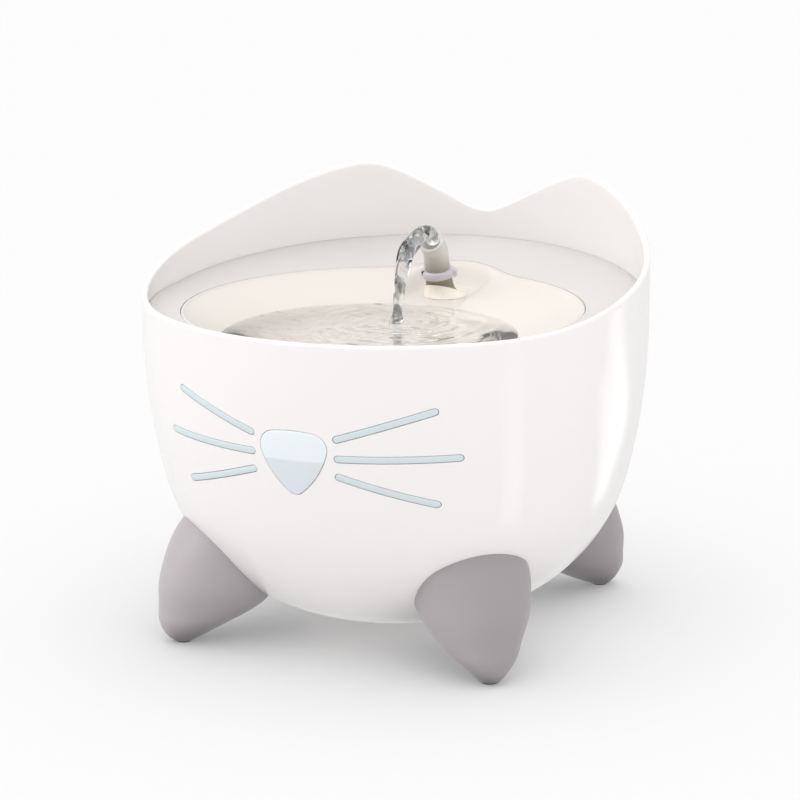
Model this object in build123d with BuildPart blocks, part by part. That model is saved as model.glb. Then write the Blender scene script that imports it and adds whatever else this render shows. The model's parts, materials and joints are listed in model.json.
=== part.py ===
from build123d import *

import math
import os

os.makedirs("parts", exist_ok=True)

# Pet water fountain with a cat's face: a bowl with ears on four clawed feet, a tray with a spout
# to drink from, and below it the pump, the filter and the light unit behind the nose.
#
# Millimetres. +Z is up and the face looks along -Y. The origin lies on the floor, under the
# middle of the bowl. Heights are above the floor, and "behind" means towards +Y.

# Bowl
RIM_RADIUS = 121.0
WALL = 3.0
UPRIGHT_FROM = 150.0
FLANK_RADIUS = 318.0
CORNER_RADIUS = 90.0
BOTTOM_HEIGHT = 7.0
FRONT_RIM = 161.4
MIDDLE_RIM = 172.0
EAR_HEIGHT = 205.0
EAR_BEHIND = 106.0
EAR_SIDE = 62.0
VALLEY_HEIGHT = 180.7
# the rim between its front and the ears, as distance behind the middle and height
RIM_RISE = [(-82.0, FRONT_RIM), (0, MIDDLE_RIM), (57.0, 186.2), (90.0, 200.2)]
# the rim between the valley and an ear, as distance to the side and height
VALLEY_RISE = [(0, VALLEY_HEIGHT), (17.0, 186.5), (37.3, 196.8), (52.0, 203.1)]
SPARE = 12.0

# Feet
FOOT_ANGLES = {"front_left": 225, "front_right": 315, "rear_left": 135, "rear_right": 45}
FOOT_SEAM = 0.1
FOOT_TIP_HEIGHT = 0.8
PAD_REACH = 110.5
PAD_RADIUS = 3.8
PAD_RECESS = 1.6
PAD_CLEARANCE = 0.1
FOOT_BOSS_REACH = 92.0
FOOT_BOSS_RADIUS = 4.5
FOOT_BOSS_BOTTOM = 22.0
FOOT_BOSS_TOP = 48.0
FOOT_SCREW_SEAT = 14.0
FOOT_SCREW_DEPTH = 10.0
SCREW_END_GAP = 1.0
SCREW_RADIUS = 1.45
SCREW_HEAD_RADIUS = 2.8
SCREW_HEAD_HEIGHT = 2.2

# Tray: its outer edge is level in front and rises behind the middle, the dish in it is level
TRAY_TILT = 5.2
TRAY_GAP = 0.6
TRAY_EDGE_WIDTH = 4.0
TRAY_THICKNESS = 2.2
LEDGE_THICKNESS = 2.6
LEDGE_CLEARANCE = 0.3
DISH_EDGE_HEIGHT = 156.2
DISH_EDGE_RADIUS = 95.6
DISH_EDGE_FORWARD = 15.6
DISH_RIM_WIDTH = 1.9
DISH_WALL = 2.4
SEAM = 0.1
SKIRT_WIDTH = 1.6
SKIRT_TOP = 155.0
DISH_LIP_TOP = 152.5
DISH_LIP_THICKNESS = 2.0
WATER_HEIGHT = 146.2
POOL_RADIUS = 70.0
POOL_FORWARD = 32.5
BASIN_HEIGHT = 137.5
BASIN_RADIUS = 56.0
BASIN_FLOOR_HEIGHT = 133.0
BASIN_FLOOR_RADIUS = 40.0
BASIN_FORWARD = 34.0
LOBE_RADIUS = 25.8
LOBE_BEHIND = 67.0
LOBE_START = 40.0
LOBE_TOP = 158.2
SHELF_HEIGHT = 147.0
SHELF_THICKNESS = 2.6
DRAIN_SLOTS = 9
DRAIN_PITCH = 6.0
DRAIN_WIDTH = 3.0
DRAIN_HEIGHT = 3.4
DRAIN_RISE = 0.5

# Spout
SPOUT_BEHIND = 58.0
SPOUT_BORE = 3.6
JOURNAL_RADIUS = 6.5
RUNNING_CLEARANCE = 0.07
SPIGOT_RADIUS = 5.2
SPIGOT_BOTTOM = 129.0
SPOUT_SEAT_CLEARANCE = 0.3
BASE_FOOT_RADIUS = 12.5
BASE_TOP_RADIUS = 8.2
BASE_FLARE_HEIGHT = 4.5
BASE_TOP_HEIGHT = 151.0
BASE_TOP_SLOPE = 22.0
NOZZLE_LEAN = 13.0
NECK_TOP_RADIUS = 6.7
COLLAR_MIDDLE = 159.9
COLLAR_FORWARD = 4.4
COLLAR_HEIGHT = 5.6
COLLAR_RADIUS = 9.3
TUBE_RADIUS = 6.3
TUBE_BORE = 4.7
TUBE_STRAIGHT = 9.0
TUBE_MOUTH = 8.0
MOUTH_LEAN = 48.0
TUBE_BEND = 10.0
LUG_LENGTH = 3.0
LUG_WIDTH = 4.4
CLIP_RADIUS = 8.6
CLIP_THICKNESS = 1.5
SEAL_HEIGHT = 132.0
SEAL_SECTION = 0.5

# Riser from the pump to the spout
RISER_RADIUS = 6.0
RISER_BORE = 4.5
RISER_BOTTOM = 62.6
RISER_LOW_TURN = 84.0
RISER_HIGH_TURN = 112.0
RISER_BEND = 12.0
RISER_SOCKET_RADIUS = 7.7
RISER_SOCKET_BORE = 5.5
RISER_SOCKET_BOTTOM = 126.0
RISER_SOCKET_TOP = 140.0
RISER_SOCKET_FLOOR = 2.0

# Base plate and suction cups under the pump and the filter
PLATE_HEIGHT = 20.0
PLATE_THICKNESS = 3.0
PLATE_HALF_WIDTH = 22.0
CUP_ROWS = (4.0, 42.0)
CUP_SIDE = 15.0
CUP_PAD_RADIUS = 9.0
CUP_PAD_TOP = 15.5
CUP_RADIUS = 7.5
CUP_LIP = 1.2
CUP_TAPER = 40
CUP_STEM_RADIUS = 3.0
CUP_STEM_COVER = 1.0
CUP_HOLE_CLEARANCE = 0.1

# Pump, lying with its axis front to back
PUMP_FRONT = 20.0
PUMP_BACK = 60.0
PUMP_WIDTH = 38.0
PUMP_TOP = 61.0
PUMP_AXIS = 43.0
PUMP_CORNER = 4.0
PUMP_WALL = 2.0
VOLUTE_RADIUS = 15.0
VOLUTE_DEPTH = 9.5
CAN_BORE = 7.6
CAN_RADIUS = 9.5
CAN_END = 50.0
CAN_FRONT = 33.0
CAN_BACK = 55.0
BUSH_LENGTH = 3.0
BUSH_RADIUS = 2.6
SHAFT_RADIUS = 0.96
SHAFT_BORE = 1.03
SHAFT_END_GAP = 0.5
STATOR_ROOM = 32.0
STATOR_ROOM_HEIGHT = 31.0
OUTLET_BEHIND = 25.0
OUTLET_RADIUS = 4.4
OUTLET_BORE = 3.3
OUTLET_TOP = 68.0
COVER_THICKNESS = 3.5
COVER_LIP = 1.2
INTAKE_BORE = 4.6
INTAKE_COLLAR_RADIUS = 5.5
INTAKE_COLLAR_LENGTH = 2.4
SPIDER_ARM = 1.4
DIAL_RADIUS = 9.0
DIAL_THICKNESS = 1.4
DIAL_GAP = 0.2
DIAL_LEVER = 22.0
DIAL_LEVER_WIDTH = 4.0
BLADES = 6
BLADE_RADIUS = 12.5
BLADE_WIDTH = 1.2
IMPELLER_FRONT = 22.3
IMPELLER_DISC = 27.2
IMPELLER_DISC_THICKNESS = 1.2
IMPELLER_HUB_RADIUS = 4.2
SLEEVE_RADIUS = 3.0
MAGNET_FRONT = 30.5
MAGNET_BACK = 49.2
MAGNET_RADIUS = 6.8
CORE_FRONT = 37.0
CORE_BACK = 47.0
CORE_WIDTH = 30.0
CORE_TOP = 52.0
LIMB_BOTTOM = 28.6
LIMB_HEIGHT = 3.0
COIL_LENGTH = 17.0
COIL_HEIGHT = 5.6
COIL_DEPTH = 13.0
SMALL_CORNER = 1.0
POTTING_FRONT = 50.5

# Filter: a housing in front of the pump and the cartridge that lifts out of it
HOUSING_BACK = 14.5
HOUSING_WALL = 2.0
HOUSING_FLOOR = 2.0
HOUSING_TOP = 66.0
CARTRIDGE_WIDTH = 55.2
CARTRIDGE_DEPTH = 15.4
CARTRIDGE_CLEARANCE = 0.4
FRAME_WALL = 1.8
FRAME_GRID = 1.4
GRID_COLUMNS = 5
GRID_ROWS = 4
GRID_BAR = 1.6
HALF_GAP = 0.2
HANDLE_WIDTH = 20.0
HANDLE_HEIGHT = 8.0
INLET_SLOTS = 5
INLET_SLOT_PITCH = 7.0
INLET_SLOT_HEIGHT = 3.6
INLET_SLOT_WIDTH = 47.0

# Face
NOSE_MIDDLE = 106.0
NOSE_TOP = 121.2
NOSE_TIP = 90.7
# half widths and the drops from the top where the nose's top edge, corner and side end, and the
# rise of its rounded tip
NOSE_BROW = (9.5, 0.8)
NOSE_CORNER = (15.0, 4.0)
NOSE_CHEEK = (16.2, 9.4)
NOSE_SIDE = (11.4, 20.1)
NOSE_CHIN = (3.6, 28.9)
LENS_DEPTH = 2.4
LENS_PROUD = 0.8
LENS_LEDGE = 1.6
WHISKER_WIDTH = 3.8
WHISKER_DEPTH = 1.4
WHISKER_PROUD = 0.25
WHISKERS = {
    "top": ((20.8, 118.4), (61.8, 131.4)),
    "middle": ((20.9, 109.2), (70.4, 109.4)),
    "bottom": ((20.8, 100.6), (60.5, 87.6)),
}

# Light unit behind the nose
LIGHT_SEAT = -105.0
LIGHT_SEAT_WIDTH = 58.0
LIGHT_SEAT_HEIGHT = 48.0
GASKET_THICKNESS = 1.2
GASKET_BAND = 4.0
BOX_WIDTH = 46.0
BOX_HEIGHT = 40.0
BOX_DEPTH = 12.0
BOX_WALL = 1.6
BOX_EAR_RADIUS = 3.4
BOX_EAR_THICKNESS = 3.0
BOX_SCREW_SIDE = 25.3
BOX_SCREW_RISE = 15.0
BOX_SCREW_RADIUS = 1.0
BOX_SCREW_HEAD_RADIUS = 2.0
BOX_SCREW_HEAD_HEIGHT = 1.5
BOX_SCREW_DEPTH = 4.5
BOX_SCREW_END_GAP = 0.5
STANDOFF_INSET = 4.8
STANDOFF_RADIUS = 1.6
BOARD_STANDOFF = 2.0
BOARD_THICKNESS = 1.2
BOARD_MARGIN = 2.0
LED_SIZE = 3.2
LED_HEIGHT = 1.1
LED_PITCH = 9.0
LEVEL_PIN_RADIUS = 1.0
LEVEL_PIN_SIDE = 8.0
LEVEL_PIN_BOTTOM = 64.0

# Inlet in the back wall
INLET_HEIGHT = 132.0
INLET_BOSS_RADIUS = 11.0
INLET_RECESS = 118.5
INLET_BOSS_DEPTH = 7.5
INLET_FLANGE_RADIUS = 7.8
INLET_FLANGE_THICKNESS = 1.5
INLET_BARREL_RADIUS = 5.9
INLET_BARREL_LENGTH = 20.0
INLET_BORE = 2.8
INLET_DEPTH = 9.5
INLET_PIN_RADIUS = 1.0
INLET_PIN_RECESS = 1.0
INLET_GASKET_RADIUS = 10.0
INLET_GASKET_THICKNESS = 1.4
INLET_NUT_THICKNESS = 3.0
INLET_NUT_RADIUS = 9.6

# Cables inside the bowl, as routes of points
PUMP_CABLE_RADIUS = 1.6
PUMP_CABLE = [
    (3.0, 100.0, 132.0),
    (3.0, 88.5, 132.0),
    (6.0, 80.0, 123.0),
    (9.0, 79.0, 108.0),
    (10.5, 82.0, 93.0),
    (11.5, 85.0, 78.5),
    (12.0, 85.5, 66.0),
    (12.0, 82.5, 56.0),
    (12.0, 75.5, 48.6),
    (12.0, 67.5, 45.0),
    (12.0, 60.0, 45.0),
]
LIGHT_CABLE_RADIUS = 1.2
LIGHT_CABLE = [
    (-3.0, 100.0, 132.0),
    (-3.0, 88.5, 132.0),
    (-13.0, 79.0, 131.5),
    (-31.0, 76.0, 131.0),
    (-56.0, 80.0, 130.0),
    (-82.0, 67.0, 129.0),
    (-100.0, 40.0, 128.0),
    (-107.0, 2.0, 126.5),
    (-103.0, -34.0, 124.0),
    (-88.0, -62.0, 121.0),
    (-68.0, -82.0, 117.0),
    (-51.0, -93.0, 113.5),
    (-37.0, -98.0, 112.0),
    (-23.0, -98.0, 112.0),
]
ROUTE_ARC_SHARE = 0.45
CABLE_CLIP_RUNS = (5, 7, 9)
CABLE_CLIP_REACH = 6.0
CABLE_CLIP_HEIGHT = 5.0
CABLE_CLIP_LENGTH = 6.0


# Shared forms

corner_height = BOTTOM_HEIGHT + CORNER_RADIUS
flank_centre = RIM_RADIUS - FLANK_RADIUS
corner_reach = math.sqrt((FLANK_RADIUS - CORNER_RADIUS) ** 2 - (UPRIGHT_FROM - corner_height) ** 2)
corner_centre = flank_centre + corner_reach
turn_angle = math.degrees(math.atan2(corner_height - UPRIGHT_FROM, corner_reach))


def bowl_form(inset, top=EAR_HEIGHT + SPARE):
    """Solid inside the bowl's outer face moved inwards by inset, filled up to the height top."""
    with BuildPart() as form:
        with BuildSketch(Plane.XZ):
            with BuildLine():
                corner = CenterArc(
                    (corner_centre, corner_height), CORNER_RADIUS - inset, -90, 90 + turn_angle
                )
                flank = CenterArc(
                    (flank_centre, UPRIGHT_FROM), FLANK_RADIUS - inset, turn_angle, -turn_angle
                )
                Line(flank @ 1, (RIM_RADIUS - inset, top))
                Line((RIM_RADIUS - inset, top), (0, top))
                Line((0, top), (0, BOTTOM_HEIGHT + inset))
                Line((0, BOTTOM_HEIGHT + inset), corner @ 0)
            make_face()
        revolve(axis=Axis.Z)
    return form.part


def upright(y):
    """Plane that stands across the object at y, with X to the right, Z up and facing the front."""
    return Plane.XZ.offset(-y)


def radial(angle, height):
    """Level plane with its x axis pointing outwards at the angle."""
    turn = math.radians(angle)
    return Plane((0, 0, height), x_dir=(math.cos(turn), math.sin(turn), 0), z_dir=(0, 0, 1))


def skin(depth, proud):
    """Layer of the bowl's wall from depth below its outer face to proud above it."""
    outer = bowl_form(-proud)
    inner = bowl_form(depth)
    with BuildPart() as layer:
        add(outer)
        add(inner, mode=Mode.SUBTRACT)
    return layer.part


def routed_tube(points, radius):
    """Tube of straight runs joined by arcs, each as large as its two runs allow."""
    radii = []
    runs = [Vector(*b) - Vector(*a) for a, b in zip(points, points[1:])]
    for before, after in zip(runs, runs[1:]):
        half_turn = math.radians(before.get_angle(after)) / 2
        shorter = min(before.length, after.length)
        radii.append(ROUTE_ARC_SHARE * shorter / math.tan(half_turn))
    print("route radii", [round(value, 1) for value in radii], "tube radius", radius)
    with BuildPart() as tube:
        with BuildLine() as route:
            FilletPolyline(*points, radius=radii)
        with BuildSketch(Plane(route.line @ 0, z_dir=route.line % 0)):
            Circle(radius)
        sweep()
    section = math.pi * radius**2
    length = sum(edge.length for edge in route.line.edges())
    print("route length", round(length, 1), "volume share", round(tube.part.volume / section / length, 4))
    return tube.part


full_form = bowl_form(0)
half_wall_form = bowl_form(WALL / 2)
water_room = bowl_form(WALL)
tray_edge_radius = RIM_RADIUS - WALL - TRAY_GAP
ledge_radius = tray_edge_radius - TRAY_EDGE_WIDTH + LEDGE_CLEARANCE


def tray_plane(behind, height=DISH_EDGE_HEIGHT):
    """Plane of the tray's edge: level in front of the middle, risen by the tilt behind it."""
    tilt = math.radians(TRAY_TILT) if behind > 0 else 0
    return Plane((0, 0, height), x_dir=(1, 0, 0), z_dir=(0, -math.sin(tilt), math.cos(tilt)))


def keep_half(behind):
    """In a sketch on a tray plane, keep what lies behind the middle, or in front of it."""
    with Locations((0, behind * RIM_RADIUS)):
        Rectangle(4 * RIM_RADIUS, 2 * RIM_RADIUS, mode=Mode.INTERSECT)


DOWN = (0, 0, -1)
HALVES = (1, -1)


# Face outlines

NOSE_MARKS = (NOSE_BROW, NOSE_CORNER, NOSE_CHEEK, NOSE_SIDE, NOSE_CHIN)


def nose_point(mark, side):
    """Point of the nose's outline on one side, from its half width and its drop from the top."""
    return (side * mark[0], NOSE_TOP - mark[1])


def nose_outline(grow):
    """Rounded shield of the nose, as a sketch on the XZ plane, grown by grow."""
    with BuildSketch(Plane.XZ) as shield:
        with BuildLine():
            ThreePointArc(nose_point(NOSE_BROW, -1), (0, NOSE_TOP), nose_point(NOSE_BROW, 1))
            for side in (1, -1):
                brow, corner, cheek, flank, chin = (nose_point(mark, side) for mark in NOSE_MARKS)
                ThreePointArc(brow, corner, cheek)
                ThreePointArc(cheek, flank, chin)
            ThreePointArc(nose_point(NOSE_CHIN, -1), (0, NOSE_TIP), nose_point(NOSE_CHIN, 1))
        make_face()
        if grow:
            offset(amount=grow)
    return shield.sketch


def whisker_bar(side, row, grow):
    """Bar with round ends along one whisker, as long as the bowl is deep, to be cut to a skin."""
    start, end = WHISKERS[row]
    start = Vector(side * start[0], start[1])
    end = Vector(side * end[0], end[1])
    middle = (start + end) / 2
    run = end - start
    angle = math.degrees(math.atan2(run.Y, run.X))
    with BuildPart() as bar:
        with BuildSketch(Plane.XZ):
            with Locations((middle.X, middle.Y)):
                SlotCenterToCenter(run.length, WHISKER_WIDTH + 2 * grow, rotation=angle)
        extrude(amount=RIM_RADIUS + SPARE)
    return bar.part


def nose_bar(grow):
    """The nose's outline drawn out to the front, to be cut to a skin."""
    shield = nose_outline(grow)
    with BuildPart() as bar:
        extrude(shield, amount=RIM_RADIUS + SPARE, dir=(0, -1, 0))
    return bar.part


def common(first, second):
    """The room that both solids take."""
    with BuildPart() as shared:
        add(first)
        add(second, mode=Mode.INTERSECT)
    return shared.part


SIDES = {"left": -1, "right": 1}
whisker_pocket_skin = skin(WHISKER_DEPTH + SEAM, SPARE)
whisker_skin = skin(WHISKER_DEPTH, WHISKER_PROUD)
whisker_pockets = []
whisker_lenses = {}
for side_name, side in SIDES.items():
    for row in WHISKERS:
        whisker_pockets.append(common(whisker_bar(side, row, SEAM), whisker_pocket_skin))
        whisker_lenses[f"whisker_{side_name}_{row}"] = common(whisker_bar(side, row, 0), whisker_skin)

nose_pocket = common(nose_bar(SEAM), skin(LENS_DEPTH + SEAM, SPARE))
light_tunnel = nose_bar(-LENS_LEDGE)

# Outer shell: bowl, ears, tray ledge, seat of the light unit, pads for the suction cups,
# bosses for the feet and the boss of the inlet

with BuildPart() as foot_bosses:
    for angle in FOOT_ANGLES.values():
        with BuildSketch(radial(angle, FOOT_BOSS_BOTTOM)):
            with Locations((FOOT_BOSS_REACH, 0)):
                Circle(FOOT_BOSS_RADIUS)
    extrude(amount=FOOT_BOSS_TOP - FOOT_BOSS_BOTTOM)

ledge_height = DISH_EDGE_HEIGHT - TRAY_THICKNESS - LEDGE_CLEARANCE
with BuildPart() as inside_features:
    for behind in HALVES:
        with BuildSketch(tray_plane(behind, ledge_height)):
            Circle(RIM_RADIUS - WALL / 4)
            Circle(ledge_radius, mode=Mode.SUBTRACT)
            keep_half(behind)
        extrude(amount=LEDGE_THICKNESS, dir=DOWN)
    with BuildSketch(upright(LIGHT_SEAT)):
        with Locations((0, NOSE_MIDDLE)):
            Rectangle(LIGHT_SEAT_WIDTH, LIGHT_SEAT_HEIGHT)
    extrude(amount=SPARE)
    with BuildSketch(upright(INLET_RECESS - INLET_BOSS_DEPTH)):
        with Locations((0, INLET_HEIGHT)):
            Circle(INLET_BOSS_RADIUS)
    extrude(amount=-SPARE)
    with BuildSketch(Plane.XY.offset(BOTTOM_HEIGHT + WALL / 2)):
        with Locations(*[(x, y) for x in (-CUP_SIDE, CUP_SIDE) for y in CUP_ROWS]):
            Circle(CUP_PAD_RADIUS)
    extrude(amount=CUP_PAD_TOP - BOTTOM_HEIGHT - WALL / 2)
    add(half_wall_form, mode=Mode.INTERSECT)

with BuildPart() as outer_shell:
    add(full_form)
    add(foot_bosses.part)
    add(water_room, mode=Mode.SUBTRACT)
    add(inside_features.part)
    # the rim as the side view shows it, rising to the ears
    with BuildSketch(Plane.YZ):
        with BuildLine():
            rise = Spline(*RIM_RISE, (EAR_BEHIND, EAR_HEIGHT), tangents=[(1, 0), (1, 0.12)])
            Polyline(
                rise @ 0,
                (-RIM_RADIUS - SPARE, FRONT_RIM),
                (-RIM_RADIUS - SPARE, EAR_HEIGHT + 2 * SPARE),
                (RIM_RADIUS + SPARE, EAR_HEIGHT + 2 * SPARE),
                (RIM_RADIUS + SPARE, EAR_HEIGHT),
                rise @ 1,
            )
        make_face()
    extrude(amount=RIM_RADIUS + SPARE, both=True, mode=Mode.SUBTRACT)
    # the valley between the ears as the back view shows it
    with BuildSketch(Plane.XZ):
        with BuildLine():
            slope = Spline(*VALLEY_RISE, (EAR_SIDE, EAR_HEIGHT), tangents=[(1, 0), (1, 0.1)])
            Polyline(slope @ 1, (EAR_SIDE, EAR_HEIGHT + 2 * SPARE), (0, EAR_HEIGHT + 2 * SPARE))
            mirror(about=Plane.YZ)
        make_face()
    extrude(amount=RIM_RADIUS + SPARE, both=True, mode=Mode.SUBTRACT)
    for pocket in whisker_pockets:
        add(pocket, mode=Mode.SUBTRACT)
    add(nose_pocket, mode=Mode.SUBTRACT)
    add(light_tunnel, mode=Mode.SUBTRACT)
    with BuildSketch(upright(LIGHT_SEAT)):
        with Locations((0, NOSE_MIDDLE)):
            with GridLocations(2 * BOX_SCREW_SIDE, 2 * BOX_SCREW_RISE, 2, 2):
                Circle(BOX_SCREW_RADIUS + SEAM)
    extrude(amount=BOX_SCREW_DEPTH, mode=Mode.SUBTRACT)
    with BuildSketch(upright(RIM_RADIUS + SPARE)):
        with Locations((0, INLET_HEIGHT)):
            Circle(INLET_BARREL_RADIUS + SEAM)
    extrude(amount=2 * SPARE, mode=Mode.SUBTRACT)
    with BuildSketch(upright(INLET_RECESS)):
        with Locations((0, INLET_HEIGHT)):
            Circle(INLET_FLANGE_RADIUS + SEAM)
    extrude(amount=-SPARE, mode=Mode.SUBTRACT)
    for angle in FOOT_ANGLES.values():
        with BuildSketch(radial(angle, FOOT_BOSS_BOTTOM)):
            with Locations((FOOT_BOSS_REACH, 0)):
                Circle(SCREW_RADIUS + SEAM)
    extrude(amount=FOOT_SCREW_DEPTH, mode=Mode.SUBTRACT)

# Feet: claws lofted through level ellipses and cut to the bowl. Each section is its height,
# the reach of its middle from the bowl's axis, and its half sizes along and across that reach.

FOOT_SECTIONS = [
    (FOOT_TIP_HEIGHT, PAD_REACH, 5.2, 5.2),
    (4.0, 109.0, 9.0, 8.5),
    (10.0, 103.5, 15.5, 13.0),
    (21.0, 93.0, 27.5, 21.0),
    (35.0, 87.0, 31.5, 27.5),
    (46.0, 90.0, 26.0, 27.0),
    (55.0, 97.0, 15.5, 20.0),
    (61.0, 99.0, 8.0, 10.0),
]
bowl_with_seam = bowl_form(-FOOT_SEAM)
feet = {}
for name, angle in FOOT_ANGLES.items():
    with BuildPart() as foot:
        for height, reach, along, across in FOOT_SECTIONS:
            with BuildSketch(radial(angle, height)):
                with Locations((reach, 0)):
                    Ellipse(along, across)
        loft()
        add(bowl_with_seam, mode=Mode.SUBTRACT)
        with BuildSketch(radial(angle, FOOT_BOSS_BOTTOM - SEAM)):
            with Locations((FOOT_BOSS_REACH, 0)):
                Circle(FOOT_BOSS_RADIUS + SEAM)
        extrude(amount=FOOT_BOSS_TOP, mode=Mode.SUBTRACT)
        with BuildSketch(radial(angle, 0)):
            with Locations((FOOT_BOSS_REACH, 0)):
                Circle(SCREW_RADIUS + SEAM)
        extrude(amount=FOOT_BOSS_TOP, mode=Mode.SUBTRACT)
        with BuildSketch(radial(angle, 0)):
            with Locations((FOOT_BOSS_REACH, 0)):
                Circle(SCREW_HEAD_RADIUS + SEAM)
        extrude(amount=FOOT_SCREW_SEAT, mode=Mode.SUBTRACT)
        with BuildSketch(radial(angle, 0)):
            with Locations((PAD_REACH, 0)):
                Circle(PAD_RADIUS + PAD_CLEARANCE)
        extrude(amount=FOOT_TIP_HEIGHT + PAD_RECESS, mode=Mode.SUBTRACT)
    feet[f"foot_{name}"] = foot

with BuildPart() as foot_pads:
    for angle in FOOT_ANGLES.values():
        with BuildSketch(radial(angle, 0)):
            with Locations((PAD_REACH, 0)):
                Circle(PAD_RADIUS)
    extrude(amount=FOOT_TIP_HEIGHT + PAD_RECESS)

with BuildPart() as foot_screws:
    for angle in FOOT_ANGLES.values():
        with BuildSketch(radial(angle, FOOT_SCREW_SEAT - SCREW_HEAD_HEIGHT)):
            with Locations((FOOT_BOSS_REACH, 0)):
                Circle(SCREW_HEAD_RADIUS)
    extrude(amount=SCREW_HEAD_HEIGHT)
    for angle in FOOT_ANGLES.values():
        with BuildSketch(radial(angle, FOOT_SCREW_SEAT)):
            with Locations((FOOT_BOSS_REACH, 0)):
                Circle(SCREW_RADIUS)
    extrude(amount=FOOT_BOSS_BOTTOM + FOOT_SCREW_DEPTH - SCREW_END_GAP - FOOT_SCREW_SEAT)

# Nose lens

nose_lens_form = common(nose_bar(0), skin(LENS_DEPTH, LENS_PROUD))
with BuildPart() as nose_lens:
    add(nose_lens_form)

# Light unit: gasket, box, board, lamps, screws and the two level pins

box_front = LIGHT_SEAT + GASKET_THICKNESS
box_back = box_front + BOX_DEPTH
box_middle = (box_front + box_back) / 2

with BuildPart() as nose_gasket:
    with BuildSketch(upright(LIGHT_SEAT)):
        with Locations((0, NOSE_MIDDLE)):
            Rectangle(BOX_WIDTH, BOX_HEIGHT)
            Rectangle(BOX_WIDTH - 2 * GASKET_BAND, BOX_HEIGHT - 2 * GASKET_BAND, mode=Mode.SUBTRACT)
    extrude(amount=-GASKET_THICKNESS)

with BuildPart() as light_box:
    with BuildSketch(upright(box_front)):
        with Locations((0, NOSE_MIDDLE)):
            Rectangle(BOX_WIDTH, BOX_HEIGHT)
    extrude(amount=-BOX_DEPTH)
    with BuildSketch(upright(box_front)):
        with Locations((0, NOSE_MIDDLE)):
            with GridLocations(2 * BOX_SCREW_SIDE, 2 * BOX_SCREW_RISE, 2, 2):
                Circle(BOX_EAR_RADIUS)
    extrude(amount=-BOX_EAR_THICKNESS)
    with BuildSketch(upright(box_front)):
        with Locations((0, NOSE_MIDDLE)):
            with GridLocations(2 * BOX_SCREW_SIDE, 2 * BOX_SCREW_RISE, 2, 2):
                Circle(BOX_SCREW_RADIUS + SEAM)
    extrude(amount=-BOX_EAR_THICKNESS, mode=Mode.SUBTRACT)
    with BuildSketch(upright(box_front)):
        with Locations((0, NOSE_MIDDLE)):
            Rectangle(BOX_WIDTH - 2 * BOX_WALL, BOX_HEIGHT - 2 * BOX_WALL)
    extrude(amount=-(BOX_DEPTH - BOX_WALL), mode=Mode.SUBTRACT)
    with BuildSketch(upright(box_back - BOX_WALL)):
        with Locations((0, NOSE_MIDDLE)):
            with GridLocations(BOX_WIDTH - 2 * STANDOFF_INSET, BOX_HEIGHT - 2 * STANDOFF_INSET, 2, 2):
                Circle(STANDOFF_RADIUS)
    extrude(amount=BOARD_STANDOFF)
    with BuildSketch(Plane.XY.offset(NOSE_MIDDLE - BOX_HEIGHT / 2)):
        with Locations((-LEVEL_PIN_SIDE, box_middle), (LEVEL_PIN_SIDE, box_middle)):
            Circle(LEVEL_PIN_RADIUS + SEAM / 2)
    extrude(amount=BOX_WALL, mode=Mode.SUBTRACT)
    with BuildSketch(Plane.YZ.offset(-BOX_WIDTH / 2)):
        with Locations((LIGHT_CABLE[-1][1], LIGHT_CABLE[-1][2])):
            Circle(LIGHT_CABLE_RADIUS - SEAM)
    extrude(amount=BOX_WALL, mode=Mode.SUBTRACT)

board_back = box_back - BOX_WALL - BOARD_STANDOFF
with BuildPart() as led_board:
    with BuildSketch(upright(board_back)):
        with Locations((0, NOSE_MIDDLE)):
            RectangleRounded(
                BOX_WIDTH - 2 * (BOX_WALL + BOARD_MARGIN),
                BOX_HEIGHT - 2 * (BOX_WALL + BOARD_MARGIN),
                SMALL_CORNER,
            )
    extrude(amount=BOARD_THICKNESS)

with BuildPart() as leds:
    with BuildSketch(upright(board_back - BOARD_THICKNESS)):
        with Locations((0, NOSE_MIDDLE)):
            with GridLocations(LED_PITCH, LED_PITCH, 3, 2):
                Rectangle(LED_SIZE, LED_SIZE)
    extrude(amount=LED_HEIGHT)

with BuildPart() as light_box_screws:
    with BuildSketch(upright(box_front + BOX_EAR_THICKNESS)):
        with Locations((0, NOSE_MIDDLE)):
            with GridLocations(2 * BOX_SCREW_SIDE, 2 * BOX_SCREW_RISE, 2, 2):
                Circle(BOX_SCREW_HEAD_RADIUS)
    extrude(amount=-BOX_SCREW_HEAD_HEIGHT)
    with BuildSketch(upright(box_front + BOX_EAR_THICKNESS)):
        with Locations((0, NOSE_MIDDLE)):
            with GridLocations(2 * BOX_SCREW_SIDE, 2 * BOX_SCREW_RISE, 2, 2):
                Circle(BOX_SCREW_RADIUS)
    extrude(amount=BOX_EAR_THICKNESS + GASKET_THICKNESS + BOX_SCREW_DEPTH - BOX_SCREW_END_GAP)

with BuildPart() as level_pins:
    with BuildSketch(Plane.XY.offset(LEVEL_PIN_BOTTOM)):
        with Locations((-LEVEL_PIN_SIDE, box_middle), (LEVEL_PIN_SIDE, box_middle)):
            Circle(LEVEL_PIN_RADIUS)
    extrude(amount=NOSE_MIDDLE - BOX_HEIGHT / 2 + 2 * BOX_WALL - LEVEL_PIN_BOTTOM)

# Tray surround: a flat edge on the bowl's ledge and, behind the middle, a funnel down to the
# level edge of the dish, with an arched opening at the back for the dish's spout shelf

surround_inner = DISH_EDGE_RADIUS + SEAM
dish_plane = Plane((0, -DISH_EDGE_FORWARD, DISH_EDGE_HEIGHT))
dish_side_angle = math.degrees(math.asin(DISH_EDGE_FORWARD / surround_inner))
funnel_top = Edge.make_circle(tray_edge_radius - TRAY_EDGE_WIDTH, tray_plane(1), 0, 180)
funnel_bottom = Edge.make_circle(
    surround_inner, dish_plane, dish_side_angle, 180 - dish_side_angle
)
funnel_face = Face.make_surface_from_curves(funnel_bottom, funnel_top)

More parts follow.
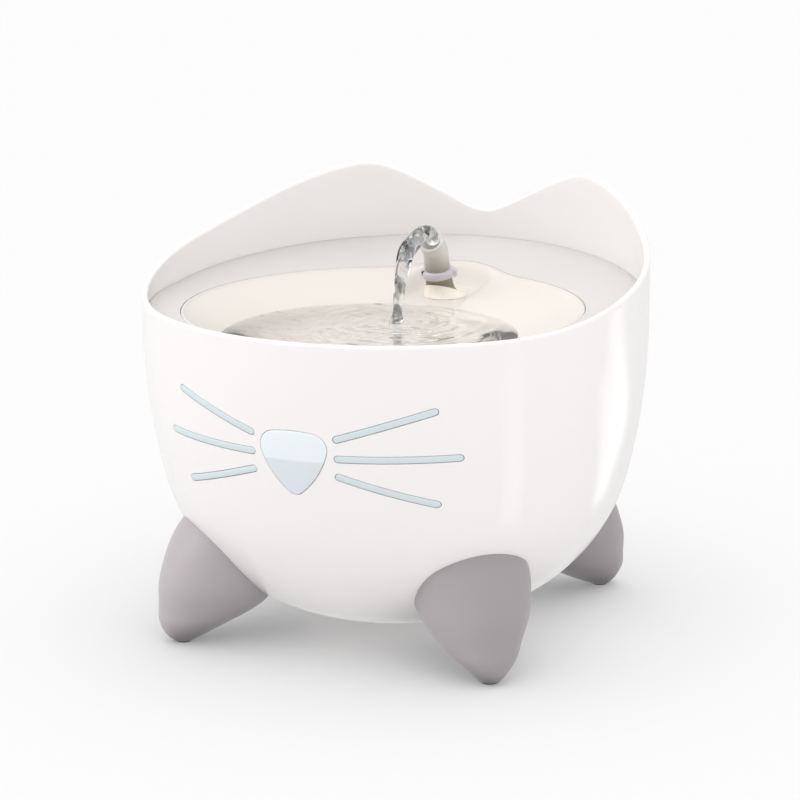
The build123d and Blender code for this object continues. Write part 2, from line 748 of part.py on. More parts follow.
with BuildPart() as tray_surround:
    extrude(funnel_face, amount=TRAY_THICKNESS, dir=DOWN)
    with BuildSketch(tray_plane(1)):
        Circle(tray_edge_radius)
        Circle(tray_edge_radius - TRAY_EDGE_WIDTH - SEAM, mode=Mode.SUBTRACT)
        keep_half(1)
    extrude(amount=TRAY_THICKNESS, dir=DOWN)
    with BuildSketch(tray_plane(-1)):
        Circle(tray_edge_radius)
        with Locations((0, -DISH_EDGE_FORWARD)):
            Circle(surround_inner, mode=Mode.SUBTRACT)
        keep_half(-1)
    extrude(amount=TRAY_THICKNESS, dir=DOWN)
    with BuildSketch(dish_plane.offset(DISH_LIP_TOP + SEAM - DISH_EDGE_HEIGHT)):
        Circle(surround_inner + SKIRT_WIDTH)
        Circle(surround_inner, mode=Mode.SUBTRACT)
    extrude(amount=SKIRT_TOP - DISH_LIP_TOP - SEAM)
    with BuildSketch(Plane.XY.offset(SHELF_HEIGHT)):
        with Locations((0, LOBE_BEHIND)):
            Circle(LOBE_RADIUS + SEAM)
    extrude(amount=EAR_HEIGHT - SHELF_HEIGHT, mode=Mode.SUBTRACT)

# Drinking dish: a level bowl whose basin lies towards the front, with a shelf for the spout at
# the back and drain slots at the front, just above the water


def basin(drop, grow):
    """The dish's hollow, lowered by drop and widened by grow."""
    circles = [
        (DISH_EDGE_HEIGHT, DISH_EDGE_FORWARD, DISH_EDGE_RADIUS - DISH_RIM_WIDTH),
        (WATER_HEIGHT, POOL_FORWARD, POOL_RADIUS),
        (BASIN_HEIGHT, BASIN_FORWARD, BASIN_RADIUS),
        (BASIN_FLOOR_HEIGHT, BASIN_FORWARD, BASIN_FLOOR_RADIUS),
    ]
    with BuildPart() as hollow:
        for height, forward, radius in circles:
            widened = min(radius + grow, DISH_EDGE_RADIUS)
            with BuildSketch(Plane.XY.offset(height - drop)):
                with Locations((0, -forward)):
                    Circle(widened)
        loft(ruled=True)
    return hollow.part


def lobe(inset, bottom, top):
    """Room of the spout shelf: an arch from the basin to the back, inset on its sides."""
    with BuildPart() as arch:
        with BuildSketch(Plane.XY.offset(bottom)):
            with Locations((0, (LOBE_BEHIND + LOBE_START) / 2)):
                SlotCenterToCenter(LOBE_BEHIND - LOBE_START, 2 * (LOBE_RADIUS - inset), rotation=90)
        extrude(amount=top - bottom)
    return arch.part


dish_body = basin(DISH_WALL, DISH_WALL)
dish_hollow = basin(0, 0)
shelf_block = lobe(0, SHELF_HEIGHT - SHELF_THICKNESS, LOBE_TOP)
shelf_room = lobe(DISH_WALL, SHELF_HEIGHT, EAR_HEIGHT)

with BuildPart() as drinking_dish:
    add(dish_body)
    with BuildSketch(dish_plane.offset(-DISH_WALL)):
        Circle(DISH_EDGE_RADIUS)
    extrude(amount=DISH_WALL)
    with BuildSketch(dish_plane.offset(DISH_LIP_TOP - DISH_EDGE_HEIGHT)):
        Circle(DISH_EDGE_RADIUS + SKIRT_WIDTH)
        Circle(DISH_EDGE_RADIUS - DISH_RIM_WIDTH, mode=Mode.SUBTRACT)
    extrude(amount=-DISH_LIP_THICKNESS)
    add(shelf_block)
    add(dish_hollow, mode=Mode.SUBTRACT)
    with BuildSketch(dish_plane):
        Circle(DISH_EDGE_RADIUS - DISH_RIM_WIDTH)
    extrude(amount=SPARE, mode=Mode.SUBTRACT)
    add(shelf_room, mode=Mode.SUBTRACT)
    with BuildSketch(upright(-POOL_FORWARD)):
        with Locations((0, WATER_HEIGHT + DRAIN_RISE + DRAIN_HEIGHT / 2)):
            with GridLocations(DRAIN_PITCH, 0, DRAIN_SLOTS, 1):
                SlotOverall(DRAIN_HEIGHT, DRAIN_WIDTH, rotation=90)
    extrude(amount=RIM_RADIUS, mode=Mode.SUBTRACT)
    with BuildSketch(Plane.XY.offset(SHELF_HEIGHT)):
        with Locations((0, SPOUT_BEHIND)):
            Circle(JOURNAL_RADIUS)
    extrude(amount=-2 * SHELF_THICKNESS, mode=Mode.SUBTRACT)

# Spout: base with its spigot, rubber neck, collar and tube, a clip and a seal

spout_plane = Plane((0, SPOUT_BEHIND, 0))
base_slope = math.radians(BASE_TOP_SLOPE)
base_top = Plane(
    (0, SPOUT_BEHIND, BASE_TOP_HEIGHT),
    x_dir=(1, 0, 0),
    z_dir=(0, math.sin(base_slope), math.cos(base_slope)),
)
lean = math.radians(NOZZLE_LEAN)
nozzle_axis = Vector(0, -math.sin(lean), math.cos(lean))
collar_centre = Vector(0, SPOUT_BEHIND - COLLAR_FORWARD, COLLAR_MIDDLE)
collar_low = collar_centre - nozzle_axis * (COLLAR_HEIGHT / 2)
collar_high = collar_centre + nozzle_axis * (COLLAR_HEIGHT / 2)
collar_plane = Plane(collar_low, x_dir=(1, 0, 0), z_dir=nozzle_axis)
seat_height = SHELF_HEIGHT + SPOUT_SEAT_CLEARANCE
journal_bottom = SHELF_HEIGHT - SHELF_THICKNESS - SPOUT_SEAT_CLEARANCE

with BuildPart() as spout_base:
    with BuildSketch(Plane.XZ.offset(-SPOUT_BEHIND)):
        with BuildLine():
            Line((0, seat_height), (BASE_FOOT_RADIUS, seat_height))
            Spline(
                (BASE_FOOT_RADIUS, seat_height),
                (BASE_TOP_RADIUS, seat_height + BASE_FLARE_HEIGHT),
                tangents=[(-1, 0.25), (0, 1)],
            )
            Polyline(
                (BASE_TOP_RADIUS, seat_height + BASE_FLARE_HEIGHT),
                (BASE_TOP_RADIUS, COLLAR_MIDDLE),
                (0, COLLAR_MIDDLE),
                (0, seat_height),
            )
        make_face()
    revolve(axis=Axis((0, SPOUT_BEHIND, 0), (0, 0, 1)))
    split(bisect_by=base_top, keep=Keep.BOTTOM)
    with BuildSketch(spout_plane.offset(journal_bottom)):
        Circle(JOURNAL_RADIUS - RUNNING_CLEARANCE)
    extrude(amount=seat_height - journal_bottom)
    with BuildSketch(spout_plane.offset(SPIGOT_BOTTOM)):
        Circle(SPIGOT_RADIUS)
    extrude(amount=seat_height - SPIGOT_BOTTOM)
    with BuildSketch(spout_plane.offset(SPIGOT_BOTTOM)):
        Circle(SPOUT_BORE)
    extrude(amount=COLLAR_MIDDLE - SPIGOT_BOTTOM, mode=Mode.SUBTRACT)
    with BuildSketch(spout_plane.offset(SEAL_HEIGHT - SEAL_SECTION)):
        Circle(SPIGOT_RADIUS)
        Circle(SPIGOT_RADIUS - 2 * SEAL_SECTION, mode=Mode.SUBTRACT)
    extrude(amount=2 * SEAL_SECTION, mode=Mode.SUBTRACT)

with BuildPart() as spout_neck:
    with BuildSketch(base_top.offset(SEAM / 2)):
        Circle(BASE_TOP_RADIUS - SEAM)
    with BuildSketch(collar_plane.offset(-SEAM / 2)):
        Circle(NECK_TOP_RADIUS)
    loft(ruled=True)
    with BuildSketch(base_top.offset(SEAM / 2)):
        Circle(SPOUT_BORE)
    with BuildSketch(collar_plane.offset(-SEAM / 2)):
        Circle(SPOUT_BORE)
    loft(ruled=True, mode=Mode.SUBTRACT)

with BuildPart() as spout_collar:
    with BuildSketch(collar_plane):
        Circle(COLLAR_RADIUS)
        with Locations((COLLAR_RADIUS, 0)):
            Rectangle(LUG_LENGTH, LUG_WIDTH)
        Circle(TUBE_BORE, mode=Mode.SUBTRACT)
    extrude(amount=COLLAR_HEIGHT)
    with BuildSketch(collar_plane):
        with Locations((-COLLAR_RADIUS, 0)):
            Rectangle(LUG_LENGTH, LUG_WIDTH / 2)
    extrude(amount=COLLAR_HEIGHT, mode=Mode.SUBTRACT)

mouth_turn = math.radians(MOUTH_LEAN)
tube_corner = collar_high + nozzle_axis * TUBE_STRAIGHT
tube_end = tube_corner + Vector(0, -math.sin(mouth_turn), math.cos(mouth_turn)) * TUBE_MOUTH
with BuildPart() as spout_tube:
    with BuildLine() as tube_route:
        FilletPolyline(collar_high, tube_corner, tube_end, radius=TUBE_BEND)
    with BuildSketch(Plane(collar_high, x_dir=(1, 0, 0), z_dir=nozzle_axis)):
        Circle(TUBE_RADIUS)
        Circle(TUBE_BORE, mode=Mode.SUBTRACT)
    sweep()

with BuildPart() as spout_clip:
    with BuildSketch(spout_plane.offset(journal_bottom)):
        Circle(CLIP_RADIUS)
        Circle(SPIGOT_RADIUS + SEAM / 2, mode=Mode.SUBTRACT)
    extrude(amount=-CLIP_THICKNESS)

with BuildPart() as spout_seal:
    with BuildSketch(Plane.XZ.offset(-SPOUT_BEHIND)):
        with Locations((SPIGOT_RADIUS - SEAL_SECTION + SEAM, SEAL_HEIGHT)):
            Circle(SEAL_SECTION - SEAM / 2)
    revolve(axis=Axis((0, SPOUT_BEHIND, 0), (0, 0, 1)))

# Riser pipe from the pump's outlet to the spout's spigot

riser_points = [
    (0, OUTLET_BEHIND, RISER_BOTTOM),
    (0, OUTLET_BEHIND, RISER_LOW_TURN),
    (0, SPOUT_BEHIND, RISER_HIGH_TURN),
    (0, SPOUT_BEHIND, RISER_SOCKET_BOTTOM + SEAM),
]
with BuildPart() as riser_pipe:
    with BuildLine():
        FilletPolyline(*riser_points, radius=RISER_BEND)
    with BuildSketch(Plane.XY.offset(RISER_BOTTOM)):
        with Locations((0, OUTLET_BEHIND)):
            Circle(RISER_RADIUS)
            Circle(RISER_BORE, mode=Mode.SUBTRACT)
    sweep()
    with BuildSketch(spout_plane.offset(RISER_SOCKET_BOTTOM)):
        Circle(RISER_SOCKET_RADIUS)
        Circle(RISER_BORE, mode=Mode.SUBTRACT)
    extrude(amount=RISER_SOCKET_FLOOR)
    with BuildSketch(spout_plane.offset(RISER_SOCKET_BOTTOM + RISER_SOCKET_FLOOR)):
        Circle(RISER_SOCKET_RADIUS)
        Circle(RISER_SOCKET_BORE, mode=Mode.SUBTRACT)
    extrude(amount=RISER_SOCKET_TOP - RISER_SOCKET_BOTTOM - RISER_SOCKET_FLOOR)

# Base plate and its suction cups

housing_depth = CARTRIDGE_DEPTH + 2 * CARTRIDGE_CLEARANCE + 2 * HOUSING_WALL
housing_front = HOUSING_BACK - housing_depth
housing_width = CARTRIDGE_WIDTH + 2 * CARTRIDGE_CLEARANCE + 2 * HOUSING_WALL
plate_top = PLATE_HEIGHT + PLATE_THICKNESS
cup_places = [(x, y) for x in (-CUP_SIDE, CUP_SIDE) for y in CUP_ROWS]

with BuildPart() as base_plate:
    with BuildSketch(Plane.XY.offset(PLATE_HEIGHT)):
        with Locations((0, (housing_front + PUMP_BACK) / 2)):
            RectangleRounded(2 * PLATE_HALF_WIDTH, PUMP_BACK - housing_front, PUMP_CORNER)
        with Locations((0, (housing_front + HOUSING_BACK) / 2)):
            RectangleRounded(housing_width, housing_depth, PUMP_CORNER)
    extrude(amount=PLATE_THICKNESS)
    with BuildSketch(Plane.XY.offset(PLATE_HEIGHT)):
        with Locations(*cup_places):
            Circle(CUP_STEM_RADIUS + CUP_HOLE_CLEARANCE)
    extrude(amount=PLATE_THICKNESS - CUP_STEM_COVER, mode=Mode.SUBTRACT)

with BuildPart() as suction_cups:
    with BuildSketch(Plane.XY.offset(CUP_PAD_TOP)):
        with Locations(*cup_places):
            Circle(CUP_RADIUS)
    extrude(amount=CUP_LIP)
    with BuildSketch(Plane.XY.offset(CUP_PAD_TOP + CUP_LIP)):
        with Locations(*cup_places):
            Circle(CUP_RADIUS)
    extrude(amount=PLATE_HEIGHT - CUP_PAD_TOP - CUP_LIP, taper=CUP_TAPER)
    with BuildSketch(Plane.XY.offset(CUP_PAD_TOP + CUP_LIP)):
        with Locations(*cup_places):
            Circle(CUP_STEM_RADIUS)
    extrude(amount=plate_top - CUP_STEM_COVER - CUP_PAD_TOP - CUP_LIP)

# Pump

axis_mark = (0, PUMP_AXIS)

with BuildPart() as pump_body:
    with BuildSketch(upright(PUMP_FRONT)):
        with Locations((0, (plate_top + PUMP_TOP) / 2)):
            RectangleRounded(PUMP_WIDTH, PUMP_TOP - plate_top, PUMP_CORNER)
    extrude(amount=PUMP_FRONT - PUMP_BACK)
    with BuildSketch(upright(PUMP_BACK)):
        with Locations((0, plate_top + PUMP_WALL + STATOR_ROOM_HEIGHT / 2)):
            Rectangle(STATOR_ROOM, STATOR_ROOM_HEIGHT)
    extrude(amount=PUMP_BACK - CAN_FRONT, mode=Mode.SUBTRACT)
    with BuildSketch(upright(CAN_FRONT)):
        with Locations(axis_mark):
            Circle(CAN_RADIUS)
    extrude(amount=CAN_FRONT - CAN_BACK)
    with BuildSketch(upright(PUMP_FRONT)):
        with Locations(axis_mark):
            Circle(VOLUTE_RADIUS)
    extrude(amount=-VOLUTE_DEPTH, mode=Mode.SUBTRACT)
    with BuildSketch(upright(PUMP_FRONT)):
        with Locations(axis_mark):
            Circle(CAN_BORE)
    extrude(amount=PUMP_FRONT - CAN_END, mode=Mode.SUBTRACT)
    with BuildSketch(upright(CAN_END)):
        with Locations(axis_mark):
            Circle(BUSH_RADIUS)
    extrude(amount=-BUSH_LENGTH, mode=Mode.SUBTRACT)
    with BuildSketch(Plane.XY.offset(PUMP_AXIS + VOLUTE_RADIUS + SEAM)):
        with Locations((0, OUTLET_BEHIND)):
            Circle(OUTLET_RADIUS)
    extrude(amount=OUTLET_TOP - PUMP_AXIS - VOLUTE_RADIUS - SEAM)
    with BuildSketch(Plane.XY.offset(PUMP_AXIS)):
        with Locations((0, OUTLET_BEHIND)):
            Circle(OUTLET_BORE)
    extrude(amount=OUTLET_TOP - PUMP_AXIS, mode=Mode.SUBTRACT)

cover_front = PUMP_FRONT - COVER_THICKNESS
with BuildPart() as pump_cover:
    with BuildSketch(upright(cover_front)):
        with Locations((0, (plate_top + PUMP_TOP) / 2)):
            RectangleRounded(PUMP_WIDTH, PUMP_TOP - plate_top, PUMP_CORNER)
    extrude(amount=-(COVER_THICKNESS - SEAM / 2))
    with BuildSketch(upright(PUMP_FRONT - SEAM / 2)):
        with Locations(axis_mark):
            Circle(VOLUTE_RADIUS - SEAM)
            Circle(VOLUTE_RADIUS - PUMP_WALL, mode=Mode.SUBTRACT)
    extrude(amount=-COVER_LIP)
    with BuildSketch(upright(cover_front - INTAKE_COLLAR_LENGTH)):
        with Locations(axis_mark):
            Circle(INTAKE_COLLAR_RADIUS - RUNNING_CLEARANCE)
    extrude(amount=-INTAKE_COLLAR_LENGTH)
    with BuildSketch(upright(cover_front - INTAKE_COLLAR_LENGTH)):
        with Locations(axis_mark):
            Circle(INTAKE_BORE)
    extrude(amount=-2 * COVER_THICKNESS, mode=Mode.SUBTRACT)
    with BuildSketch(upright(cover_front)):
        with Locations(axis_mark):
            Circle(BUSH_RADIUS + SPIDER_ARM / 2)
            Rectangle(2 * INTAKE_BORE + SPIDER_ARM, SPIDER_ARM)
            Circle(BUSH_RADIUS, mode=Mode.SUBTRACT)
    extrude(amount=-(COVER_THICKNESS - SEAM / 2))

dial_front = cover_front - DIAL_GAP - DIAL_THICKNESS
with BuildPart() as flow_dial:
    with BuildSketch(upright(dial_front)):
        with Locations(axis_mark):
            Circle(DIAL_RADIUS)
        with Locations((0, PUMP_AXIS + DIAL_LEVER / 2)):
            Rectangle(DIAL_LEVER_WIDTH, DIAL_LEVER)
        with Locations(axis_mark):
            Circle(INTAKE_COLLAR_RADIUS, mode=Mode.SUBTRACT)
    extrude(amount=-DIAL_THICKNESS)

with BuildPart() as impeller:
    with BuildSketch(upright(IMPELLER_FRONT)):
        with Locations(axis_mark):
            Circle(IMPELLER_HUB_RADIUS)
    extrude(amount=IMPELLER_FRONT - IMPELLER_DISC)
    with BuildSketch(upright(IMPELLER_FRONT)):
        with Locations(axis_mark):
            with PolarLocations(BLADE_RADIUS / 2, BLADES):
                Rectangle(BLADE_RADIUS, BLADE_WIDTH)
    extrude(amount=IMPELLER_FRONT - IMPELLER_DISC)
    with BuildSketch(upright(IMPELLER_DISC)):
        with Locations(axis_mark):
            Circle(BLADE_RADIUS)
    extrude(amount=-IMPELLER_DISC_THICKNESS)
    with BuildSketch(upright(IMPELLER_DISC)):
        with Locations(axis_mark):
            Circle(IMPELLER_HUB_RADIUS)
    extrude(amount=IMPELLER_DISC - MAGNET_FRONT)
    with BuildSketch(upright(IMPELLER_DISC)):
        with Locations(axis_mark):
            Circle(SLEEVE_RADIUS - SEAM / 2)
    extrude(amount=IMPELLER_DISC - MAGNET_BACK)
    with BuildSketch(upright(IMPELLER_FRONT)):
        with Locations(axis_mark):
            Circle(SHAFT_BORE)
    extrude(amount=IMPELLER_FRONT - MAGNET_BACK, mode=Mode.SUBTRACT)

with BuildPart() as rotor_magnet:
    with BuildSketch(upright(MAGNET_FRONT)):
        with Locations(axis_mark):
            Circle(MAGNET_RADIUS)
            Circle(SLEEVE_RADIUS, mode=Mode.SUBTRACT)
    extrude(amount=MAGNET_FRONT - MAGNET_BACK)

shaft_front = cover_front + SHAFT_END_GAP
shaft_back = CAN_END + BUSH_LENGTH - SHAFT_END_GAP
with BuildPart() as rotor_shaft:
    with BuildSketch(upright(shaft_front)):
        with Locations(axis_mark):
            Circle(SHAFT_RADIUS)
    extrude(amount=shaft_front - shaft_back)

with BuildPart() as front_bush:
    with BuildSketch(upright(cover_front)):
        with Locations(axis_mark):
            Circle(BUSH_RADIUS - SEAM / 4)
            Circle(SHAFT_BORE, mode=Mode.SUBTRACT)
    extrude(amount=-BUSH_LENGTH)

with BuildPart() as rear_bush:
    with BuildSketch(upright(CAN_END)):
        with Locations(axis_mark):
            Circle(BUSH_RADIUS - SEAM / 4)
            Circle(SHAFT_BORE, mode=Mode.SUBTRACT)
    extrude(amount=-(BUSH_LENGTH - SEAM))

with BuildPart() as stator_core:
    with BuildSketch(upright(CORE_FRONT)):
        with Locations((0, (LIMB_BOTTOM + CORE_TOP) / 2)):
            Rectangle(CORE_WIDTH, CORE_TOP - LIMB_BOTTOM)
        with Locations((0, (LIMB_BOTTOM + LIMB_HEIGHT + CORE_TOP) / 2)):
            Rectangle(
                COIL_LENGTH + 2 * SEAM, CORE_TOP - LIMB_BOTTOM - LIMB_HEIGHT, mode=Mode.SUBTRACT
            )
        with Locations(axis_mark):
            Circle(CAN_RADIUS + SEAM, mode=Mode.SUBTRACT)
    extrude(amount=CORE_FRONT - CORE_BACK)

with BuildPart() as stator_coil:
    with BuildSketch(Plane.YZ.offset(-COIL_LENGTH / 2)):
        with Locations(((CORE_FRONT + CORE_BACK) / 2, LIMB_BOTTOM + LIMB_HEIGHT / 2)):
            RectangleRounded(COIL_DEPTH, COIL_HEIGHT, SMALL_CORNER)
            Rectangle(CORE_BACK - CORE_FRONT + SEAM, LIMB_HEIGHT + SEAM, mode=Mode.SUBTRACT)
    extrude(amount=COIL_LENGTH)

with BuildPart() as pump_potting:
    with BuildSketch(upright(POTTING_FRONT)):
        with Locations((0, plate_top + PUMP_WALL + STATOR_ROOM_HEIGHT / 2)):
            Rectangle(STATOR_ROOM - SEAM, STATOR_ROOM_HEIGHT - SEAM)
    extrude(amount=POTTING_FRONT - PUMP_BACK)
    with BuildSketch(upright(POTTING_FRONT)):
        with Locations(axis_mark):
            Circle(CAN_RADIUS + SEAM / 2)
    extrude(amount=POTTING_FRONT - CAN_BACK - SEAM / 2, mode=Mode.SUBTRACT)

# Filter housing and cartridge

cartridge_bottom = plate_top + HOUSING_FLOOR + CARTRIDGE_CLEARANCE
cartridge_front = housing_front + HOUSING_WALL + CARTRIDGE_CLEARANCE
cartridge_back = cartridge_front + CARTRIDGE_DEPTH
cartridge_middle = (cartridge_front + cartridge_back) / 2
cartridge_height = HOUSING_TOP - cartridge_bottom
half_depth = (CARTRIDGE_DEPTH - HALF_GAP) / 2
pad_width = CARTRIDGE_WIDTH - 2 * FRAME_WALL
pad_height = cartridge_height - 2 * FRAME_WALL
cartridge_mark = (0, cartridge_bottom + cartridge_height / 2)

with BuildPart() as filter_housing:
    with BuildSketch(Plane.XY.offset(plate_top)):
        with Locations((0, (housing_front + HOUSING_BACK) / 2)):
            Rectangle(housing_width, housing_depth)
    extrude(amount=HOUSING_TOP - plate_top)
    with BuildSketch(Plane.XY.offset(plate_top + HOUSING_FLOOR)):
        with Locations((0, (housing_front + HOUSING_BACK) / 2)):
            Rectangle(housing_width - 2 * HOUSING_WALL, housing_depth - 2 * HOUSING_WALL)
    extrude(amount=HOUSING_TOP, mode=Mode.SUBTRACT)
    with BuildSketch(upright(HOUSING_BACK - HOUSING_WALL)):
        with Locations(axis_mark):
            Circle(INTAKE_COLLAR_RADIUS + SEAM)
    extrude(amount=-HOUSING_WALL, mode=Mode.SUBTRACT)
    with BuildSketch(upright(housing_front)):
        with Locations(cartridge_mark):
            with GridLocations(0, INLET_SLOT_PITCH, 1, INLET_SLOTS):
                SlotOverall(INLET_SLOT_WIDTH, INLET_SLOT_HEIGHT)
    extrude(amount=-HOUSING_WALL, mode=Mode.SUBTRACT)


def filter_frame(outer_face, inwards):
    """Half of the cartridge: a shallow tray with a grid, from its outer face inwards along Y."""
    column_pitch = pad_width / GRID_COLUMNS
    row_pitch = pad_height / GRID_ROWS
    with BuildPart() as frame:
        with BuildSketch(upright(outer_face)):
            with Locations(cartridge_mark):
                Rectangle(CARTRIDGE_WIDTH, cartridge_height)
        extrude(amount=-inwards * half_depth)
        with BuildSketch(upright(outer_face + inwards * FRAME_GRID)):
            with Locations(cartridge_mark):
                Rectangle(pad_width, pad_height)
        extrude(amount=-inwards * half_depth, mode=Mode.SUBTRACT)
        with BuildSketch(upright(outer_face)):
            with Locations(cartridge_mark):
                with GridLocations(column_pitch, row_pitch, GRID_COLUMNS, GRID_ROWS):
                    Rectangle(column_pitch - GRID_BAR, row_pitch - GRID_BAR)
        extrude(amount=-inwards * half_depth, mode=Mode.SUBTRACT)
    return frame.part


front_frame_form = filter_frame(cartridge_front, 1)
rear_frame_form = filter_frame(cartridge_back, -1)

with BuildPart() as filter_frame_front:
    add(front_frame_form)
    with BuildSketch(upright(cartridge_middle - HALF_GAP / 2)):
        with Locations((0, HOUSING_TOP + HANDLE_HEIGHT / 2)):
            Rectangle(HANDLE_WIDTH, HANDLE_HEIGHT)
    extrude(amount=half_depth / 2)

with BuildPart() as filter_frame_rear:
    add(rear_frame_form)

pad_depth = half_depth - FRAME_GRID - SEAM
with BuildPart() as filter_cotton:
    with BuildSketch(upright(cartridge_front + FRAME_GRID + SEAM / 2)):
        with Locations(cartridge_mark):
            RectangleRounded(pad_width - 2 * SEAM, pad_height - 2 * SEAM, SMALL_CORNER)
    extrude(amount=-pad_depth)

with BuildPart() as filter_carbon:
    with BuildSketch(upright(cartridge_middle + HALF_GAP / 2)):
        with Locations(cartridge_mark):
            RectangleRounded(pad_width - 2 * SEAM, pad_height - 2 * SEAM, SMALL_CORNER)
    extrude(amount=-pad_depth)

# Inlet in the back wall

inlet_mark = (0, INLET_HEIGHT)
flange_back = INLET_RECESS + INLET_FLANGE_THICKNESS
boss_face = INLET_RECESS - INLET_BOSS_DEPTH
gasket_front = boss_face - INLET_GASKET_THICKNESS
with BuildPart() as inlet_socket:
    with BuildSketch(upright(flange_back)):
        with Locations(inlet_mark):
            Circle(INLET_FLANGE_RADIUS)
    extrude(amount=INLET_FLANGE_THICKNESS)
    with BuildSketch(upright(flange_back)):
        with Locations(inlet_mark):
            Circle(INLET_BARREL_RADIUS)
    extrude(amount=INLET_BARREL_LENGTH)
    with BuildSketch(upright(flange_back)):
        with Locations(inlet_mark):
            Circle(INLET_BORE)
    extrude(amount=INLET_DEPTH, mode=Mode.SUBTRACT)

with BuildPart() as inlet_pin:
    with BuildSketch(upright(flange_back - INLET_DEPTH)):
        with Locations(inlet_mark):
            Circle(INLET_PIN_RADIUS)
    extrude(amount=-(INLET_DEPTH - INLET_PIN_RECESS))

with BuildPart() as inlet_gasket:
    with BuildSketch(upright(boss_face)):
        with Locations(inlet_mark):
            Circle(INLET_GASKET_RADIUS)
            Circle(INLET_BARREL_RADIUS + SEAM, mode=Mode.SUBTRACT)
    extrude(amount=INLET_GASKET_THICKNESS)

with BuildPart() as inlet_nut:
    with BuildSketch(upright(gasket_front)):
        with Locations(inlet_mark):
            RegularPolygon(INLET_NUT_RADIUS, 6)
            Circle(INLET_BARREL_RADIUS + SEAM, mode=Mode.SUBTRACT)
    extrude(amount=INLET_NUT_THICKNESS)

# Cables inside the bowl and the clips that hold the light unit's cable to the wall

pump_cable_form = routed_tube(PUMP_CABLE, PUMP_CABLE_RADIUS)
light_cable_form = routed_tube(LIGHT_CABLE, LIGHT_CABLE_RADIUS)
with BuildPart() as pump_cable:
    add(pump_cable_form)
with BuildPart() as light_cable:
    add(light_cable_form)

clip_room = bowl_form(WALL + SEAM / 2)
with BuildPart() as cable_clips:
    for run in CABLE_CLIP_RUNS:
        start = Vector(*LIGHT_CABLE[run])
        end = Vector(*LIGHT_CABLE[run + 1])
        middle = (start + end) / 2
        outwards = Vector(middle.X, middle.Y, 0).normalized()
        along = (end - start).normalized()
        square = (outwards - along * outwards.dot(along)).normalized()
        with BuildSketch(Plane(middle, x_dir=square, z_dir=along)):
            with Locations((CABLE_CLIP_REACH, 0)):
                Rectangle(2 * (CABLE_CLIP_REACH + 2 * LIGHT_CABLE_RADIUS), CABLE_CLIP_HEIGHT)
            Circle(LIGHT_CABLE_RADIUS + SEAM / 2, mode=Mode.SUBTRACT)
        extrude(amount=CABLE_CLIP_LENGTH / 2, both=True)
    add(clip_room, mode=Mode.INTERSECT)

# Files

pieces = {
    "outer_shell": outer_shell.part,
    "foot_pads": foot_pads.part,
    "foot_screws": foot_screws.part,
    "nose_lens": nose_lens.part,
    "nose_gasket": nose_gasket.part,
    "light_box": light_box.part,
    "led_board": led_board.part,
    "leds": leds.part,
    "light_box_screws": light_box_screws.part,
    "level_pins": level_pins.part,
    "tray_surround": tray_surround.part,
    "drinking_dish": drinking_dish.part,
    "spout_base": spout_base.part,
    "spout_neck": spout_neck.part,
    "spout_collar": spout_collar.part,
    "spout_tube": spout_tube.part,
    "spout_clip": spout_clip.part,
    "spout_seal": spout_seal.part,
    "riser_pipe": riser_pipe.part,
    "base_plate": base_plate.part,
    "suction_cups": suction_cups.part,
    "pump_body": pump_body.part,
    "pump_cover": pump_cover.part,
    "flow_dial": flow_dial.part,
    "impeller": impeller.part,
    "rotor_magnet": rotor_magnet.part,
    "rotor_shaft": rotor_shaft.part,
    "front_bush": front_bush.part,
    "rear_bush": rear_bush.part,
    "stator_core": stator_core.part,
    "stator_coil": stator_coil.part,
    "pump_potting": pump_potting.part,
    "filter_housing": filter_housing.part,
    "filter_frame_front": filter_frame_front.part,
    "filter_frame_rear": filter_frame_rear.part,
    "filter_cotton": filter_cotton.part,
    "filter_carbon": filter_carbon.part,
    "inlet_socket": inlet_socket.part,
    "inlet_pin": inlet_pin.part,
    "inlet_gasket": inlet_gasket.part,
    "inlet_nut": inlet_nut.part,
    "pump_cable": pump_cable.part,
    "light_cable": light_cable.part,
    "cable_clips": cable_clips.part,
}
for label, foot in feet.items():
    pieces[label] = foot.part
pieces.update(whisker_lenses)
for label, piece in pieces.items():
    piece.label = label
    export_step(piece, f"parts/{label}.step")
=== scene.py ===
import json
import math

import bmesh
import bpy
import numpy as np
from mathutils import Matrix, Vector


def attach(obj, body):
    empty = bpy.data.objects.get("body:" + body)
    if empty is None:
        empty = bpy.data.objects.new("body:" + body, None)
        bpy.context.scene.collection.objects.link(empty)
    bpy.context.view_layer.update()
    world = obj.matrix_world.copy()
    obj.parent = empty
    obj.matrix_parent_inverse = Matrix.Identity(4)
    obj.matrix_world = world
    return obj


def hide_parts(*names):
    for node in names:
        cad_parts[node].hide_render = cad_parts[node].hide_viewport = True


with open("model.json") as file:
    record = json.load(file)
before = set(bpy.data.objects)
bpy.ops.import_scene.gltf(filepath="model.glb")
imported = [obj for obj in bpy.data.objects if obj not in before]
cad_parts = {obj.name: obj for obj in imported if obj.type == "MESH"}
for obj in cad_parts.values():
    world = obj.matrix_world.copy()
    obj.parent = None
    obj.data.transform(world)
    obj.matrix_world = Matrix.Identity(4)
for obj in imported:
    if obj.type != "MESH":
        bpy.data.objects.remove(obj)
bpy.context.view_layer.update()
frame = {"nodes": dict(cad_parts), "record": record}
scene = bpy.context.scene


# Floor: a flat matt white studio floor, wide enough to fill the view behind the fountain. It takes
# the soft shadow, and reflections in the glossy shell look through it at the room and its lamps.


def srgb(text):
    """Linear colour from a #RRGGBB string: each byte over 255 through the sRGB transfer curve."""
    value = np.array([int(text[place : place + 2], 16) for place in (1, 3, 5)]) / 255.0
    linear = np.where(value <= 0.04045, value / 12.92, ((value + 0.055) / 1.055) ** 2.4)
    return (*linear.tolist(), 1.0)


